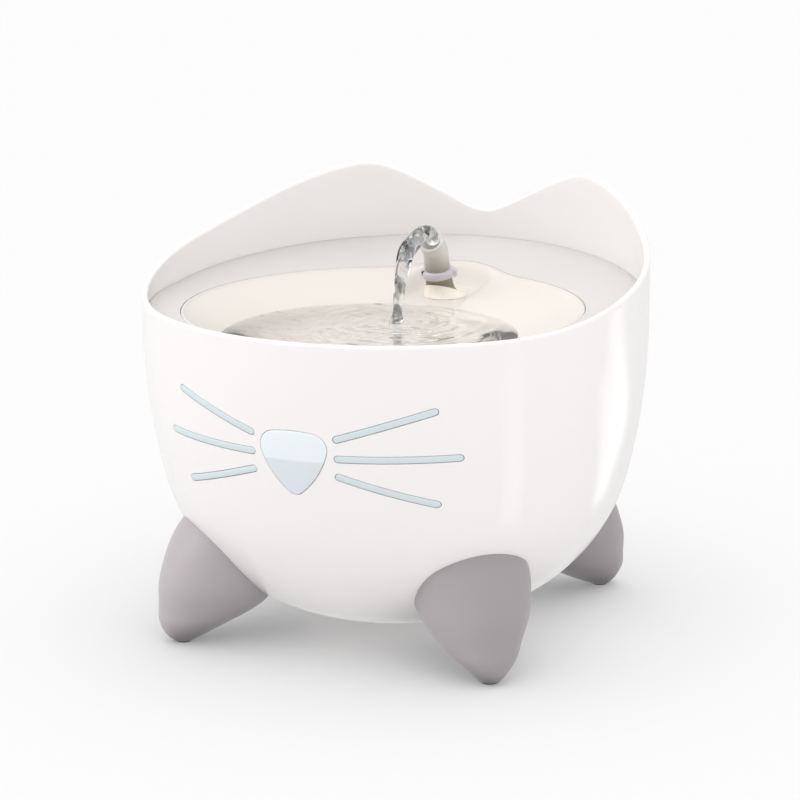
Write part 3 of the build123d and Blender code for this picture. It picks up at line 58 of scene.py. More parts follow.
def add_node(tree, kind, **sockets):
    """Adds a shader node and names it by its kind. Each named socket takes a plain value or
    another node's output."""
    made = tree.nodes.new("ShaderNode" + kind)
    made.name = kind
    for socket, value in sockets.items():
        target = made.inputs[socket.replace("_", " ")]
        if isinstance(value, bpy.types.NodeSocket):
            tree.links.new(value, target)
        else:
            target.default_value = value
    return made


def finish(name, colour, rough, **sockets):
    """Material with one Principled shader of that colour and roughness."""
    made = bpy.data.materials.new(name)
    made.use_nodes = True
    tree = made.node_tree
    tree.nodes.clear()
    body = add_node(tree, "BsdfPrincipled", Base_Color=srgb(colour), Roughness=rough, **sockets)
    add_node(tree, "OutputMaterial", Surface=body.outputs[0])
    return made


def grain(look, size_mm, depth_mm):
    """Fine bumps on the surface: 3-D noise with grains of that size, raised by that depth."""
    tree = look.node_tree
    place = add_node(tree, "TexCoord")
    noise = add_node(tree, "TexNoise", Vector=place.outputs["Object"], Scale=1000.0 / size_mm)
    bump = add_node(tree, "Bump", Height=noise.outputs[0], Distance=depth_mm * 0.001, Strength=1.0)
    tree.links.new(bump.outputs[0], tree.nodes["BsdfPrincipled"].inputs["Normal"])


def flat(name, corners, look, *unseen_by):
    """Flat piece of the studio, from its corners in metres, hidden from some kinds of ray."""
    mesh = bpy.data.meshes.new(name)
    mesh.from_pydata(corners.tolist(), [], [range(len(corners))])
    mesh.materials.append(look)
    made = bpy.data.objects.new(name, mesh)
    scene.collection.objects.link(made)
    for rays in unseen_by:
        setattr(made, "visible_" + rays, False)
    return made


FLOOR_HALF = 9.0
SQUARE = np.array([(-1, -1, 0), (1, -1, 0), (1, 1, 0), (-1, 1, 0)])
floor_paint = finish("matt white studio floor", "#D9D9D9", 1.0, Specular_IOR_Level=0.0)
floor = flat("floor", FLOOR_HALF * SQUARE, floor_paint, "glossy")


# Light: a white room with wide soft suns from the left, from above and from the right, some of
# them for the fountain, its feet or the floor alone. Two strip lamps on the right, which only
# reflections meet, draw the bright streaks down the glossy bowl.

# the room's strength at the horizon and straight up, behind the view, and in reflections
SKY_LOW = 0.44
SKY_HIGH = 1.16
BACKDROP = 0.94
MIRRORED_ROOM = 0.85
# each sun: the direction that it shines from, its strength, its width in degrees, whether it casts
# shadows, and what it lights
SUNS = {
    "left window": ((-0.80, -0.22, 0.52), 1.12, 50.0, True, "fountain"),
    "overhead softbox": ((0.05, -0.05, 1.0), 0.60, 80.0, True, "both"),
    "front fill": ((0.77, -0.62, 0.18), 0.72, 60.0, True, "left and front"),
    "floor wash": ((0.0, 0.0, 1.0), 0.95, 20.0, False, "floor"),
    "feet key": ((-0.90, -0.38, 0.12), 0.78, 40.0, True, "feet"),
}

world = bpy.data.worlds.new("white studio")
scene.world = world
world.use_nodes = True
sky = world.node_tree
sky.nodes.clear()
path = add_node(sky, "LightPath")
seen = add_node(sky, "Math", Value=path.outputs["Is Camera Ray"])
seen.operation = "MAXIMUM"
sky.links.new(path.outputs["Is Transmission Ray"], seen.inputs[1])
direction = add_node(sky, "TexCoord")
parts = add_node(sky, "SeparateXYZ", Vector=direction.outputs["Generated"])
fill = add_node(sky, "MapRange", Value=parts.outputs["Z"], To_Min=SKY_LOW, To_Max=SKY_HIGH)
level = add_node(sky, "Mix", Factor=seen.outputs[0], A=fill.outputs[0], B=BACKDROP)
mirror_level = add_node(
    sky, "Mix", Factor=path.outputs["Is Glossy Ray"], A=level.outputs[0], B=MIRRORED_ROOM
)
glow = add_node(sky, "Background", Color=(1, 1, 1, 1), Strength=mirror_level.outputs[0])
add_node(sky, "OutputWorld", Surface=glow.outputs[0])

# what a lamp lights: all but the floor, all but the floor and the right feet, the floor alone, or
# the feet that are added to their group below
lit = {}
for group, state in (("fountain", "EXCLUDE"), ("left and front", "EXCLUDE"), ("floor", "INCLUDE")):
    lit[group] = bpy.data.collections.new(group + " alone")
    lit[group].objects.link(floor)
    lit[group].collection_objects[0].light_linking.link_state = state
lit["feet"] = bpy.data.collections.new("feet alone")
for sun_name, (shines_from, strength, width, shadows, lights_up) in SUNS.items():
    sun_data = bpy.data.lights.new(sun_name, "SUN")
    sun_data.energy = strength
    sun_data.angle = math.radians(width)
    sun_data.use_shadow = shadows
    sun = bpy.data.objects.new(sun_name, sun_data)
    sun.rotation_euler = Vector(shines_from).to_track_quat("Z", "Y").to_euler()
    sun.visible_glossy = False
    sun.light_linking.receiver_collection = lit.get(lights_up)
    scene.collection.objects.link(sun)


def clear_where(look, kind, output):
    """Lets rays straight on past the surface where that output of a node of that kind is 1."""
    tree = look.node_tree
    share = add_node(tree, kind).outputs[output]
    clear = add_node(tree, "BsdfTransparent", Color=(1, 1, 1, 1))
    mixed = add_node(tree, "MixShader", Fac=share)
    tree.links.new(tree.nodes["BsdfPrincipled"].outputs[0], mixed.inputs[1])
    tree.links.new(clear.outputs[0], mixed.inputs[2])
    tree.links.new(mixed.outputs[0], tree.nodes["OutputMaterial"].inputs[0])


def xyz(x, y, z):
    """Points from their coordinates, each a number or an array."""
    return np.stack(np.broadcast_arrays(x, y, z), -1)


def full_turn(count):
    """Angles spread evenly over a full turn."""
    return np.linspace(0, 2 * np.pi, count, endpoint=False)


def spin(radii, heights, middle=(0, 0), columns=96):
    """Grid of a profile (radii, heights) turned about an upright axis through middle."""
    angle = full_turn(columns)
    radii = np.array(radii, float)[:, None]
    heights = np.array(heights, float)[:, None]
    return xyz(middle[0] + radii * np.cos(angle), middle[1] + radii * np.sin(angle), heights)


# black discs on the floor under the feet, which only bounced light meets, from above: they keep
# the floor's light off the feet's undersides
CARD_REACH = 88.0
CARD_RADIUS = 34.0
CARD_LIFT = 0.4
card_look = finish("black card", "#000000", 1.0, Specular_IOR_Level=0.0)
clear_where(card_look, "NewGeometry", "Backfacing")
for quarter in (45, 135, 225, 315):
    turn = math.radians(quarter)
    card_middle = (CARD_REACH * math.cos(turn), CARD_REACH * math.sin(turn))
    disc = spin([CARD_RADIUS], [CARD_LIFT], card_middle, 32)[0] * 0.001
    card_name = f"card under a foot {quarter}"
    card = flat(card_name, disc, card_look, "camera", "glossy", "transmission", "shadow")

# each strip lamp: its middle, half its length as a run, its width and its radiance
STRIPS = {
    "narrow strip": ((1.367, -0.30, -0.55), (0.15, -0.20, 0.39), 0.24, 6.4),
    "wide strip": ((0.93, 1.11, -0.38), (0.26, -0.13, 0.17), 0.40, 2.8),
}
for strip_name, (middle, half_run, width, radiance) in STRIPS.items():
    run = np.array(half_run)
    across = np.cross(run, np.array(middle))
    across *= width / 2 / np.linalg.norm(across)
    corners = np.array(middle) + SQUARE[:, :1] * run + SQUARE[:, 1:2] * across
    lamp_look = finish(
        strip_name, "#000000", 1.0, Emission_Color=(1, 1, 1, 1), Emission_Strength=radiance
    )
    strip = flat(strip_name, corners, lamp_look, "camera", "diffuse", "transmission", "shadow")


# Camera: a long lens a little above the fountain and to its right.
CAMERA_LENS = 121.195
CAMERA_SENSOR = 36.0
CAMERA_PLACE = (0.49164, -1.16169, 0.42599)
CAMERA_ELEVATION = 14.195
CAMERA_AZIMUTH = 22.861
CAMERA_ROLL = 0.39
camera_data = bpy.data.cameras.new("camera")
camera_data.lens = CAMERA_LENS
camera_data.sensor_width = CAMERA_SENSOR
camera = bpy.data.objects.new("camera", camera_data)
camera.matrix_world = (
    Matrix.Translation(CAMERA_PLACE)
    @ Matrix.Rotation(math.radians(CAMERA_AZIMUTH), 4, "Z")
    @ Matrix.Rotation(math.radians(90 - CAMERA_ELEVATION), 4, "X")
    @ Matrix.Rotation(math.radians(-CAMERA_ROLL), 4, "Z")
)
scene.collection.objects.link(camera)
scene.camera = camera
scene.view_settings.view_transform = "Standard"


# Outer shell: the bowl with its ears, one glossy white ABS moulding. The wall is 3 mm thick, with
# a ledge inside that carries the tray, a seat for the light unit, pads for the suction cups and a
# boss for the inlet.
RIM_RADIUS = 121.0
WALL = 3.0
UPRIGHT_FROM = 150.0
FLANK_CENTRE = -197.0
FLANK_RADIUS = 318.0
CORNER_CENTRE = 24.754
CORNER_HEIGHT = 97.0
CORNER_RADIUS = 90.0
# where the corner arc meets the flank arc
FLANK_FROM = 76.079
FLANK_FROM_RADIUS = 112.289
SIDE_RISE = [(-82, 161.4), (0, 172.0), (57, 186.2), (90, 200.2), (106, 205.0)]
SIDE_SLOPES = (0.0, 0.12)
VALLEY_RISE = [(0, 180.7), (17, 186.5), (37.3, 196.8), (52, 203.1), (62, 205.0)]
VALLEY_SLOPES = (0.0, 0.1)
EAR_BLEND = 1.6
EDGE_WIDTH = 1.5
TRAY_SLOPE = math.tan(math.radians(5.2))
TRAY_EASE = 4.0
LEDGE_TOP = 153.7
LEDGE_THICKNESS = 2.6
LEDGE_INNER = 113.7
SHELL_COLUMNS = 360


def through(x, marks, slopes):
    """Height of a cubic spline with continuous curvature through (place, height) marks, with the
    given end slopes; beyond the ends it keeps the last height. The slopes at the marks solve the
    usual three-term equations, and each span is the Hermite cubic of its ends."""
    place = np.array([mark[0] for mark in marks], float)
    height = np.array([mark[1] for mark in marks], float)
    step = np.diff(place)
    rise = np.diff(height) / step
    count = len(place)
    matrix = np.eye(count)
    right = np.zeros(count)
    right[0], right[-1] = slopes
    inner = np.arange(1, count - 1)
    matrix[inner, inner - 1] = step[1:]
    matrix[inner, inner] = 2 * (step[:-1] + step[1:])
    matrix[inner, inner + 1] = step[:-1]
    right[inner] = 3 * (step[1:] * rise[:-1] + step[:-1] * rise[1:])
    slope = np.linalg.solve(matrix, right)
    x = np.clip(x, place[0], place[-1])
    span = np.clip(np.searchsorted(place, x, side="right") - 1, 0, count - 2)
    t = (x - place[span]) / step[span]
    return (
        (1 + 2 * t) * (1 - t) ** 2 * height[span]
        + t * (1 - t) ** 2 * step[span] * slope[span]
        + t**2 * (3 - 2 * t) * height[span + 1]
        + t**2 * (t - 1) * step[span] * slope[span + 1]
    )


def lower_of(first, second, blend):
    """The lower of two heights, with the crease between them rounded over blend millimetres."""
    gap = np.clip(0.5 + 0.5 * (second - first) / blend, 0, 1)
    return second + (first - second) * gap - blend * gap * (1 - gap)


def rim_height(x, y):
    """Height of the shell's rim above the floor: the lower of the side view's rise to the ears
    and the back view's valley between them."""
    side = through(y, SIDE_RISE, SIDE_SLOPES)
    valley = through(np.abs(x), VALLEY_RISE, VALLEY_SLOPES)
    valley = np.where(y < 0, side + 4 * EAR_BLEND, valley)
    return lower_of(side, valley, EAR_BLEND)


def tray_height(y, level):
    """Height of the tray's seat: level in front of the middle, risen by the tray's slope behind
    it, with the crease at the middle eased."""
    return level + TRAY_SLOPE * 0.5 * (y + np.sqrt(y**2 + TRAY_EASE**2) - TRAY_EASE)


def bowl_radius(z, inset=0.0):
    """Radius of the bowl's face at a height, moved inwards by inset: two arcs and an upright."""
    corner = CORNER_CENTRE + np.sqrt(np.maximum((CORNER_RADIUS - inset) ** 2 - (z - CORNER_HEIGHT) ** 2, 0))
    flank = FLANK_CENTRE + np.sqrt(np.maximum((FLANK_RADIUS - inset) ** 2 - (z - UPRIGHT_FROM) ** 2, 0))
    return np.where(z < FLANK_FROM, corner, np.where(z < UPRIGHT_FROM, flank, RIM_RADIUS - inset))


def bowl_rows(inset, top):
    """Rows (radius, height) up the bowl's face moved inwards by inset: flat bottom, corner arc,
    flank arc and upright, up to a height for each column."""
    bottom = np.linspace(0, CORNER_CENTRE, 8)[:-1]
    corner_end = math.atan2(FLANK_FROM - CORNER_HEIGHT, FLANK_FROM_RADIUS - CORNER_CENTRE)
    corner = np.linspace(-math.pi / 2, corner_end, 58)
    flank_start = math.atan2(FLANK_FROM - UPRIGHT_FROM, FLANK_FROM_RADIUS - FLANK_CENTRE)
    flank = np.linspace(flank_start, 0, 40)[1:]
    radius = np.r_[
        bottom,
        CORNER_CENTRE + (CORNER_RADIUS - inset) * np.cos(corner),
        FLANK_CENTRE + (FLANK_RADIUS - inset) * np.cos(flank),
    ]
    height = np.r_[
        0 * bottom + CORNER_HEIGHT - CORNER_RADIUS + inset,
        CORNER_HEIGHT + (CORNER_RADIUS - inset) * np.sin(corner),
        UPRIGHT_FROM + (FLANK_RADIUS - inset) * np.sin(flank),
    ]
    upright = UPRIGHT_FROM + np.linspace(0, 1, 15)[1:, None] * (top[None] - UPRIGHT_FROM)
    radii = np.vstack([np.repeat(radius[:, None], len(top), 1), 0 * upright + RIM_RADIUS - inset])
    heights = np.vstack([np.repeat(height[:, None], len(top), 1), upright])
    return radii, heights


def build(name, grids):
    """Mesh from grids of points in millimetres. Each grid has a row per step along its profile and
    closes around its columns; points that fall together are merged, which closes its ends, and
    faces are turned outwards."""
    shape = bmesh.new()
    for points in grids:
        rows, columns = points.shape[:2]
        index = np.arange(rows * columns).reshape(rows, columns)
        low, high = index[:-1], index[1:]
        quads = np.stack([low, np.roll(low, -1, 1), np.roll(high, -1, 1), high], -1).reshape(-1, 4)
        part = bpy.data.meshes.new(name)
        part.from_pydata((points.reshape(-1, 3) * 0.001).tolist(), [], quads.tolist())
        single = bmesh.new()
        single.from_mesh(part)
        bmesh.ops.remove_doubles(single, verts=single.verts, dist=2e-6)
        bmesh.ops.recalc_face_normals(single, faces=single.faces)
        single.to_mesh(part)
        single.free()
        shape.from_mesh(part)
        bpy.data.meshes.remove(part)
    mesh = bpy.data.meshes.new(name)
    shape.to_mesh(mesh)
    shape.free()
    made = bpy.data.objects.new(name, mesh)
    scene.collection.objects.link(made)
    return made


def carve(target, cutters):
    """Cuts the cutters' grids out of the target with exact Booleans, one cutter at a time."""
    for points in cutters:
        cutter = build("cutter", [points])
        step = target.modifiers.new("cut", "BOOLEAN")
        step.operation = "DIFFERENCE"
        step.solver = "EXACT"
        step.object = cutter
        bpy.context.view_layer.update()
        cut = bpy.data.meshes.new_from_object(target.evaluated_get(bpy.context.evaluated_depsgraph_get()))
        target.modifiers.clear()
        target.data = cut
        bpy.data.objects.remove(cutter)


def smooth(target, look, sharp=35.0):
    """Gives the piece its material and smooth shading, with edges sharper than the angle kept."""
    target.data.materials.clear()
    target.data.materials.append(look)
    target.data.shade_smooth()
    target.data.set_sharp_from_angle(angle=math.radians(sharp))


around = full_turn(SHELL_COLUMNS)
cos_a, sin_a = np.cos(around), np.sin(around)
outer_top = rim_height(RIM_RADIUS * cos_a, RIM_RADIUS * sin_a) - EDGE_WIDTH
inner_radius = RIM_RADIUS - WALL
inner_top = rim_height(inner_radius * cos_a, inner_radius * sin_a) - EDGE_WIDTH
outer_r, outer_z = bowl_rows(0.0, outer_top)
inner_r, inner_z = bowl_rows(WALL, tray_height(inner_radius * sin_a, LEDGE_TOP - LEDGE_THICKNESS))
lip_turn = np.linspace(0, np.pi, 11)[1:-1, None]
lip_share = (1 - np.cos(lip_turn)) / 2
lip_r = RIM_RADIUS - EDGE_WIDTH + EDGE_WIDTH * np.cos(lip_turn) + 0 * outer_top
lip_z = outer_top * (1 - lip_share) + inner_top * lip_share + EDGE_WIDTH * np.sin(lip_turn)
ledge_z = tray_height(LEDGE_INNER * sin_a, LEDGE_TOP)
wall_share = np.linspace(0, 1, 14)[:, None]
wall_foot = tray_height(inner_radius * sin_a, LEDGE_TOP)
wall_z = inner_top + wall_share * (wall_foot - inner_top)
wall_r = inner_radius + 0 * wall_z
ledge_r = LEDGE_INNER + 0 * ledge_z
shell_r = np.vstack([outer_r, lip_r, wall_r, ledge_r, ledge_r, inner_r[::-1]])
shell_z = np.vstack([outer_z, lip_z, wall_z, ledge_z, ledge_z - LEDGE_THICKNESS, inner_z[::-1]])
outer_shell = build("outer_shell", [xyz(shell_r * cos_a, shell_r * sin_a, shell_z)])

# the face's inlays, in front view: marks of the nose's outline as (x, drop below its top), and
# the ends of the whiskers on the right as (x, height)
NOSE_MIDDLE = 106.0
NOSE_TOP = 121.2
NOSE_TIP = 90.7
NOSE_MARKS = ((9.5, 0.8), (15.0, 4.0), (16.2, 9.4), (11.4, 20.1), (3.6, 28.9))
LENS_DEPTH = 2.4
LENS_LEDGE = 1.6
WHISKERS = {
    "top": ((20.8, 118.4), (61.8, 131.4)),
    "middle": ((20.9, 109.2), (70.4, 109.4)),
    "bottom": ((20.8, 100.6), (60.5, 87.6)),
}
WHISKER_HALF = 1.65
WHISKER_DEPTH = 1.4
GROOVE = 0.16


def on_bowl(x, z, lift):
    """Point of the bowl's front face seen at (x, z), lifted off it along the outward normal."""
    radius = bowl_radius(z)
    y = -np.sqrt(radius**2 - x**2)
    centre_r = np.where(z < FLANK_FROM, CORNER_CENTRE, FLANK_CENTRE)
    centre_z = np.where(z < FLANK_FROM, CORNER_HEIGHT, UPRIGHT_FROM)
    out, up = radius - centre_r, np.where(z < UPRIGHT_FROM, z - centre_z, 0)
    size = np.hypot(out, up)
    grow = lift * out / size / radius
    return xyz(x + x * grow, y + y * grow, z + lift * up / size)


def three_point_arc(first, second, third, count=22):
    """Points along the circle through three points, from the first to just before the third. With
    the points as complex numbers, the circle's centre follows from their ratio w."""
    a, b, c = (complex(*point) for point in (first, second, third))
    w = (c - a) / (b - a)
    centre = (b - a) * (w - abs(w) ** 2) / (2j * w.imag) + a
    start, middle, end = (np.angle(point - centre) for point in (a, b, c))
    sweep = (end - start) % (2 * np.pi)
    sweep -= 2 * np.pi * ((middle - start) % (2 * np.pi) > sweep)
    angle = start + sweep * np.linspace(0, 1, count, endpoint=False)
    points = centre + abs(a - centre) * np.exp(1j * angle)
    return np.stack([points.real, points.imag], -1)


right = [(mark[0], NOSE_TOP - mark[1]) for mark in NOSE_MARKS]
left = [(-x, z) for x, z in right]
nose_path = [left[0], (0, NOSE_TOP), *right, (0, NOSE_TIP), *left[::-1]]
nose_arcs = [three_point_arc(*nose_path[mark : mark + 3]) for mark in range(0, 12, 2)]
nose_outline = np.concatenate(nose_arcs)
nose_middle = np.array([0.0, NOSE_MIDDLE])
outline_step = np.roll(nose_outline, -1, 0) - np.roll(nose_outline, 1, 0)
outline_normal = np.stack([-outline_step[:, 1], outline_step[:, 0]], -1)
outline_normal /= np.linalg.norm(outline_normal, axis=1)[:, None]
outline_normal *= np.sign(np.sum(outline_normal * (nose_outline - nose_middle), 1))[:, None]


def nose_rings(rings):
    """Rings (growth, share, lift) of the nose on the bowl: the outline grown by growth, drawn in to
    a share of its size around the middle, and lifted off the face."""
    rows = []
    for growth, share, lift in rings:
        seen = nose_middle + (nose_outline + growth * outline_normal - nose_middle) * share
        rows.append(on_bowl(seen[:, 0], seen[:, 1], lift))
    return np.stack(rows)


def whisker_rings(row, side, rings):
    """Rings (reach, lift) of one whisker on the bowl: all points at that reach from its middle
    line, a straight bar with round ends, lifted off the face."""
    start, end = (np.array([side * x, z]) for x, z in WHISKERS[row])
    length = np.linalg.norm(end - start)
    along = (end - start) / length
    across = np.array([-along[1], along[0]])
    bend = np.linspace(-np.pi / 2, np.pi / 2, 17)
    run = np.linspace(0, 1, 41)[1:-1]
    place = np.r_[0 * bend + 1, 1 - run, 0 * bend, run] * length
    direction = np.r_[bend, 0 * run + np.pi / 2, bend + np.pi, 0 * run - np.pi / 2]
    rows = []
    for reach, lift in rings:
        p = place + reach * np.cos(direction)
        q = reach * np.sin(direction)
        seen = start + p[:, None] * along + q[:, None] * across
        rows.append(on_bowl(seen[:, 0], seen[:, 1], lift))
    return np.stack(rows)


# the inlet's recess and bore, and its boss: radii, and places along the Y axis
INLET_HEIGHT = 132.0
INLET_CUT = ([0, 7.9, 7.9, 6.0, 6.0, 0], [124, 124, 118.5, 118.5, 108, 108])
INLET_BOSS = ([6.0, 11, 11, 6.0, 6.0], [111, 111, 119, 118.4, 111])


def lay_back(grid, height):
    """Turns a grid about the upright axis onto the Y axis at that height, heights becoming y."""
    return xyz(grid[..., 0], grid[..., 2], height + grid[..., 1])


pocket = -LENS_DEPTH - 0.1
nose_cut = [(0, 0, 4), (GROOVE, 1, 4), (GROOVE, 1, pocket), (-LENS_LEDGE, 1, pocket)]
nose_cut += [(-LENS_LEDGE, 1, -8), (0, 0, -8)]
shell_cutters = [nose_rings(nose_cut), lay_back(spin(*INLET_CUT), INLET_HEIGHT)]
bar, pocket = WHISKER_HALF + GROOVE, -WHISKER_DEPTH - 0.1
for side in (-1, 1):
    for row in WHISKERS:
        rings = [(0, 3), (bar, 3), (bar, pocket), (0, pocket)]
        shell_cutters.append(whisker_rings(row, side, rings))
carve(outer_shell, shell_cutters)

# the light unit's seat: a frame around the hole behind the nose
SEAT_BACK = -105.0
SEAT_HALF = (29.0, 24.0)
hole = nose_outline - LENS_LEDGE * outline_normal
arm = hole - nose_middle
reach_out = np.min(np.array(SEAT_HALF) / np.maximum(np.abs(arm), 1e-6), 1)[:, None]
frame_out = nose_middle + arm * reach_out


def wall_middle(seen):
    """Points in the middle of the bowl's front wall, seen at (x, height)."""
    return on_bowl(seen[:, 0], seen[:, 1], -WALL / 2)


def at_seat(seen):
    """Points on the light unit's seat plane, seen at (x, height)."""
    return xyz(seen[:, 0], SEAT_BACK, seen[:, 1])


light_seat = np.stack(
    [at_seat(hole), at_seat(frame_out), wall_middle(frame_out), wall_middle(hole), at_seat(hole)]
)
inlet_boss = lay_back(spin(*INLET_BOSS), INLET_HEIGHT)
# the four pads on the bowl's floor that the suction cups hold to: radii and heights
CUP_PLACES = [(x, y) for x in (-15.0, 15.0) for y in (4.0, 42.0)]
CUP_PAD = ([0, 9, 9, 8.6, 0], [8.5, 8.5, 15.1, 15.5, 15.5])
cup_pads = [spin(*CUP_PAD, place, 48) for place in CUP_PLACES]
fittings = build("fittings", [light_seat, inlet_boss, *cup_pads])
joined = bmesh.new()
joined.from_mesh(outer_shell.data)
joined.from_mesh(fittings.data)
joined.to_mesh(outer_shell.data)
joined.free()
bpy.data.objects.remove(fittings)

# polished ABS: a clean white body under a hard clear gloss, with an orange-peel ripple so faint
# that it only softens the edges of reflections
shell_look = finish("polished white ABS", "#F1EEED", 0.2, IOR=1.5)
grain(shell_look, 9.0, 0.0015)
smooth(outer_shell, shell_look)
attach(outer_shell, "bowl")
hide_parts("outer_shell")


# Nose and whiskers: translucent pale-blue acrylic inlays, pressed into pockets in the bowl's
# face and standing a little proud of it. The nose is domed and lets the lamps behind it through.

# rings of the nose as (growth, share, lift), and of a whisker as (reach, lift)
NOSE_RINGS = [(0, 0, -2.4), (-0.1, 1, -2.4), (-0.1, 1, -0.1), (-0.18, 1, 0.12), (-0.4, 1, 0.27)]
NOSE_RINGS += [(0, 0.94, 0.36), (0, 0.86, 0.48), (0, 0.72, 0.62)]
NOSE_RINGS += [(0, 0.5, 0.73), (0, 0.25, 0.79), (0, 0, 0.8)]
WHISKER_RINGS = [(0, -1.4), (1.55, -1.4), (1.55, -0.3), (1.47, -0.05)]
WHISKER_RINGS += [(1.3, 0.1), (1.0, 0.19), (0.5, 0.24), (0, 0.25)]
# heights in metres over which the nose's painted shade below its light guide gives way to its own colour
LENS_SHADE_STEP = (0.1066, 0.1078)


def tone(look, value, low, high, first, second):
    """Base colour that runs from the first to the second as the value goes from low to high."""
    tree = look.node_tree
    step = add_node(tree, "MapRange", Value=value, From_Min=low, From_Max=high)
    mix = add_node(tree, "Mix")
    mix.data_type = "RGBA"
    tree.links.new(step.outputs[0], mix.inputs[0])
    mix.inputs[6].default_value = srgb(first)
    mix.inputs[7].default_value = srgb(second)
    tree.links.new(mix.outputs[2], tree.nodes["BsdfPrincipled"].inputs["Base Color"])


def fade_up(look, low, high, below, above):
    """Base colour that changes between two heights above the floor, in metres."""
    place = add_node(look.node_tree, "TexCoord")
    axes = add_node(look.node_tree, "SeparateXYZ", Vector=place.outputs["Object"])
    tone(look, axes.outputs[2], low, high, below, above)


# acrylic: almost white with a cool cast and a wet-looking gloss; the nose's lower part is painted a shade
# deeper as painted shade, where no light guide stands behind it
lens_look = finish("pale blue acrylic", "#F3FBFF", 0.07, IOR=1.49, Transmission_Weight=0.12)
fade_up(lens_look, *LENS_SHADE_STEP, "#E4ECF2", "#F4FBFF")
nose_lens = build("nose_lens", [nose_rings(NOSE_RINGS)])
smooth(nose_lens, lens_look, 40)
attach(nose_lens, "bowl")
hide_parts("nose_lens")

# clear acrylic with a blue-grey cast, glossy like the nose
whisker_look = finish("clear acrylic inlay", "#D3DDE0", 0.1, IOR=1.49)
for side_name, side in (("left", -1), ("right", 1)):
    for row in WHISKERS:
        whisker_name = f"whisker_{side_name}_{row}"
        whisker = build(whisker_name, [whisker_rings(row, side, WHISKER_RINGS)])
        smooth(whisker, whisker_look, 50)
        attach(whisker, "bowl")
        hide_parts(whisker_name)


# Feet: four claws of satin grey ABS, moulded to the bowl's curve, each screwed up into the bowl
# from below, with a rubber pad in its tip.

# sections: height, reach of the middle from the bowl's axis, half sizes along and across it
FOOT_SECTIONS = [
    (0.8, 110.5, 5.0, 5.0),
    (2.5, 109.3, 8.3, 6.6),
    (6.0, 106.7, 13.6, 9.8),
    (11.0, 102.4, 19.6, 15.0),
    (18.0, 95.6, 26.2, 19.8),
    (27.0, 92.4, 28.9, 24.7),
    (37.0, 89.9, 28.8, 27.2),
    (47.0, 91.4, 23.2, 26.7),
    (55.0, 95.4, 14.2, 21.6),
    (62.0, 98.7, 6.3, 12.2),
]
FOOT_ANGLES = {"front_left": 225, "front_right": 315, "rear_left": 135, "rear_right": 45}
FOOT_SEAM = 0.1
# the pad's seat in the tip: its reach, radius and height; and the screw's hole: its reach, its
# radii and their heights
FOOT_PAD = (110.5, 3.9, 2.4)
SCREW_REACH = 92.0
SCREW_HOLE = ([0, 2.9, 2.9, 1.6, 1.6, 0], [-1, -1, 14, 14, 40, 40])


def path_lengths(table):
    """Length of a path up to each of its points, which are a table's first two columns."""
    steps = np.linalg.norm(np.diff(np.array(table)[:, :2], axis=0), axis=1)
    return np.r_[0, np.cumsum(steps)]


def measure(share, table, column):
    """A column of a table at a share of its path's length: smooth through the column's values,
    with the slopes of the first and last step at the ends."""
    place = path_lengths(table)
    values = np.array(table)[:, column]
    slopes = np.diff(values) / np.diff(place)
    return through(share * place[-1], list(zip(place, values)), (slopes[0], slopes[-1]))


def claw_point(share, angle):
    """Point of the claw's skin before it meets the bowl, at a share of its length and an angle:
    level ellipses, smoothly interpolated along the length."""
    height, reach, along, across = (measure(share, FOOT_SECTIONS, column) for column in range(4))
    return reach + along * np.cos(angle), across * np.sin(angle), height


def outside_bowl(share, angle):
    """How far the claw's skin stands off the bowl with its seam; negative inside the bowl."""
    x, y, z = claw_point(share, angle)
    above = np.where(z > CORNER_HEIGHT - CORNER_RADIUS - FOOT_SEAM, bowl_radius(z) + FOOT_SEAM, 0)
    return np.hypot(x, y) - above


claw_around = full_turn(144)
coarse = np.linspace(0, 1, 400)[:, None]
is_inside = outside_bowl(coarse, claw_around) < 0
first_inside = np.where(is_inside.any(0), np.argmax(is_inside, 0), len(coarse) - 1)
low = coarse[first_inside - 1, 0]
high = coarse[first_inside, 0]
for _ in range(30):
    half = (low + high) / 2
    inside = outside_bowl(half, claw_around) < 0
    low, high = np.where(inside, low, half), np.where(inside, half, high)
claw_share = np.linspace(0, 1, 64)[:, None] * low
skin_x, skin_y, skin_z = claw_point(claw_share, claw_around)
seam_x, seam_y, seam_z = skin_x[-1], skin_y[-1], skin_z[-1]
seam_turn = np.arctan2(seam_y, seam_x)
seam_arc = np.arctan2(seam_z - CORNER_HEIGHT, np.hypot(seam_x, seam_y) - CORNER_CENTRE)
draw_in = np.linspace(1, 0, 14)[1:, None]
face_turn = seam_turn.mean() + draw_in * (seam_turn - seam_turn.mean())
face_arc = seam_arc.mean() + draw_in * (seam_arc - seam_arc.mean())
face_r = CORNER_CENTRE + (CORNER_RADIUS + FOOT_SEAM) * np.cos(face_arc)
face_z = CORNER_HEIGHT + (CORNER_RADIUS + FOOT_SEAM) * np.sin(face_arc)
face_rows = xyz(face_r * np.cos(face_turn), face_r * np.sin(face_turn), face_z)
pad_reach, pad_radius, pad_depth = FOOT_PAD
tip_heights = [pad_depth, pad_depth, FOOT_SECTIONS[0][0]]
tip = spin([0, pad_radius, pad_radius], tip_heights, (pad_reach, 0), len(claw_around))
foot_grid = np.concatenate([tip, xyz(skin_x, skin_y, skin_z), face_rows])
screw_hole = spin(*SCREW_HOLE, (SCREW_REACH, 0), 48)

